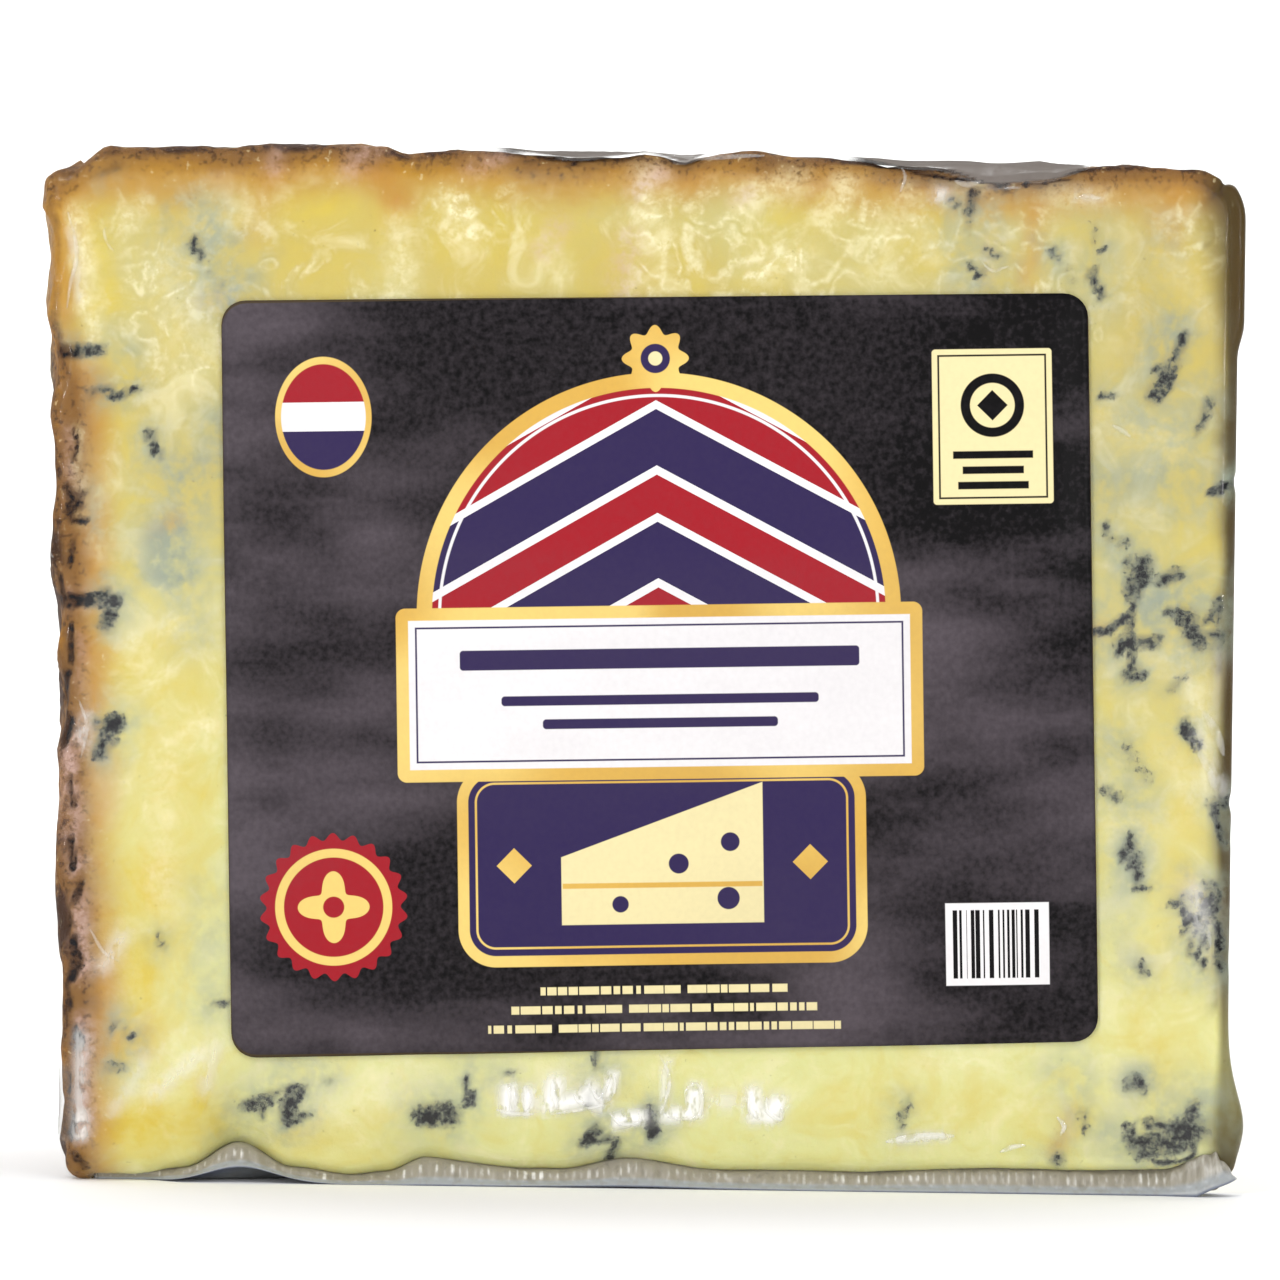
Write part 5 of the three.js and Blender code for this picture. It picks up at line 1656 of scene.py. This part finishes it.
def make_lamp(name, place, toward, size, radiance):
    """A soft square lamp that looks at a point."""
    lamp = bpy.data.lights.new(name, "AREA")
    lamp.shape = "RECTANGLE"
    lamp.size, lamp.size_y = size
    lamp.energy = radiance * math.pi * size[0] * size[1]
    stand = bpy.data.objects.new(name, lamp)
    stand.location = place
    stand.rotation_euler = (Vector(toward) - Vector(place)).to_track_quat("-Z", "Y").to_euler()
    bpy.context.scene.collection.objects.link(stand)


def make_camera(settings):
    """The camera in front of the label, level with the pack and turned a little."""
    low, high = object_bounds()
    middle = (low + high) / 2
    camera = bpy.data.cameras.new("camera")
    camera.sensor_width = SENSOR_WIDTH
    camera.lens = SENSOR_WIDTH * settings.camera_distance / settings.view_width
    camera.clip_end = VIEW_DEPTH
    stand = bpy.data.objects.new("camera", camera)
    stand.location = (
        middle.x - settings.camera_aside,
        low.y - settings.camera_distance,
        middle.z + settings.camera_rise,
    )
    upright = Matrix.Rotation(math.pi / 2, 4, "X")
    stand.rotation_euler = (upright @ Matrix.Rotation(settings.camera_roll, 4, "Z")).to_euler()
    bpy.context.scene.collection.objects.link(stand)
    bpy.context.scene.camera = stand


def dressed(piece, node):
    """Puts a piece under the root and hides the CAD solid that it stands for."""
    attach(piece, "root")
    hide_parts(node)


class CHEESE_OT_wedge(bpy.types.Operator):
    """Makes the cheese with its rind and its blue mould"""

    bl_idname = "cheese.wedge"
    bl_label = "Cheese"

    def execute(self, context):
        cheese = make_cheese(context.scene.wedge_sizes, context.scene.cheese_colours)
        dressed(cheese, "vacuum_pack")
        return {"FINISHED"}


class CHEESE_OT_bag(bpy.types.Operator):
    """Makes the clear film on the cheese and the gathered hem at its foot"""

    bl_idname = "cheese.bag"
    bl_label = "Bag"

    def execute(self, context):
        sizes, colours = context.scene.wedge_sizes, context.scene.cheese_colours
        film = make_film(sizes, colours)
        for piece in (film, make_folds(sizes, colours, film), make_hem(sizes, colours)):
            dressed(piece, "vacuum_pack")
        return {"FINISHED"}


class CHEESE_OT_label(bpy.types.Operator):
    """Makes the printed paper label"""

    bl_idname = "cheese.label"
    bl_label = "Label"

    def execute(self, context):
        sheet = make_label(context.scene.wedge_sizes, context.scene.label_colours)
        dressed(sheet, "label")
        return {"FINISHED"}


class CHEESE_OT_studio(bpy.types.Operator):
    """Makes the floor, the lamps, the room's light and the camera"""

    bl_idname = "cheese.studio"
    bl_label = "Studio"

    def execute(self, context):
        settings = context.scene.studio_settings
        make_floor(settings)
        for name, place, toward, size, brightness in LAMPS:
            make_lamp(name, place, toward, size, getattr(settings, brightness))
        world = bpy.data.worlds.new("room")
        world.use_nodes = True
        world.node_tree.nodes["Background"].inputs["Color"].default_value = (1, 1, 1, 1)
        world.node_tree.nodes["Background"].inputs["Strength"].default_value = settings.sky
        context.scene.world = world
        context.scene.view_settings.view_transform = "Standard"
        make_camera(settings)
        return {"FINISHED"}


class CHEESE_PT_panel(bpy.types.Panel):
    """The wedge's pieces, sizes and colours"""

    bl_label = "Blue cheese wedge"
    bl_space_type = "VIEW_3D"
    bl_region_type = "UI"
    bl_category = "Cheese"

    def draw(self, context):
        for operator in OPERATORS:
            self.layout.operator(operator.bl_idname)
        for group in SETTINGS:
            settings = getattr(context.scene, group)
            column = self.layout.column(align=True)
            for name in settings.__annotations__:
                column.prop(settings, name)


SETTINGS = {
    "wedge_sizes": WedgeSizes,
    "cheese_colours": CheeseColours,
    "label_colours": LabelColours,
    "studio_settings": StudioSettings,
}
OPERATORS = (CHEESE_OT_wedge, CHEESE_OT_bag, CHEESE_OT_label, CHEESE_OT_studio)


def register():
    for kind in (*SETTINGS.values(), *OPERATORS, CHEESE_PT_panel):
        bpy.utils.register_class(kind)
    for name, kind in SETTINGS.items():
        setattr(bpy.types.Scene, name, PointerProperty(type=kind))


def unregister():
    for name in SETTINGS:
        delattr(bpy.types.Scene, name)
    for kind in reversed((*SETTINGS.values(), *OPERATORS, CHEESE_PT_panel)):
        bpy.utils.unregister_class(kind)


def main():
    register()
    bpy.ops.cheese.wedge()
    bpy.ops.cheese.bag()
    bpy.ops.cheese.label()
    bpy.ops.cheese.studio()


if __name__ == "__main__":
    main()
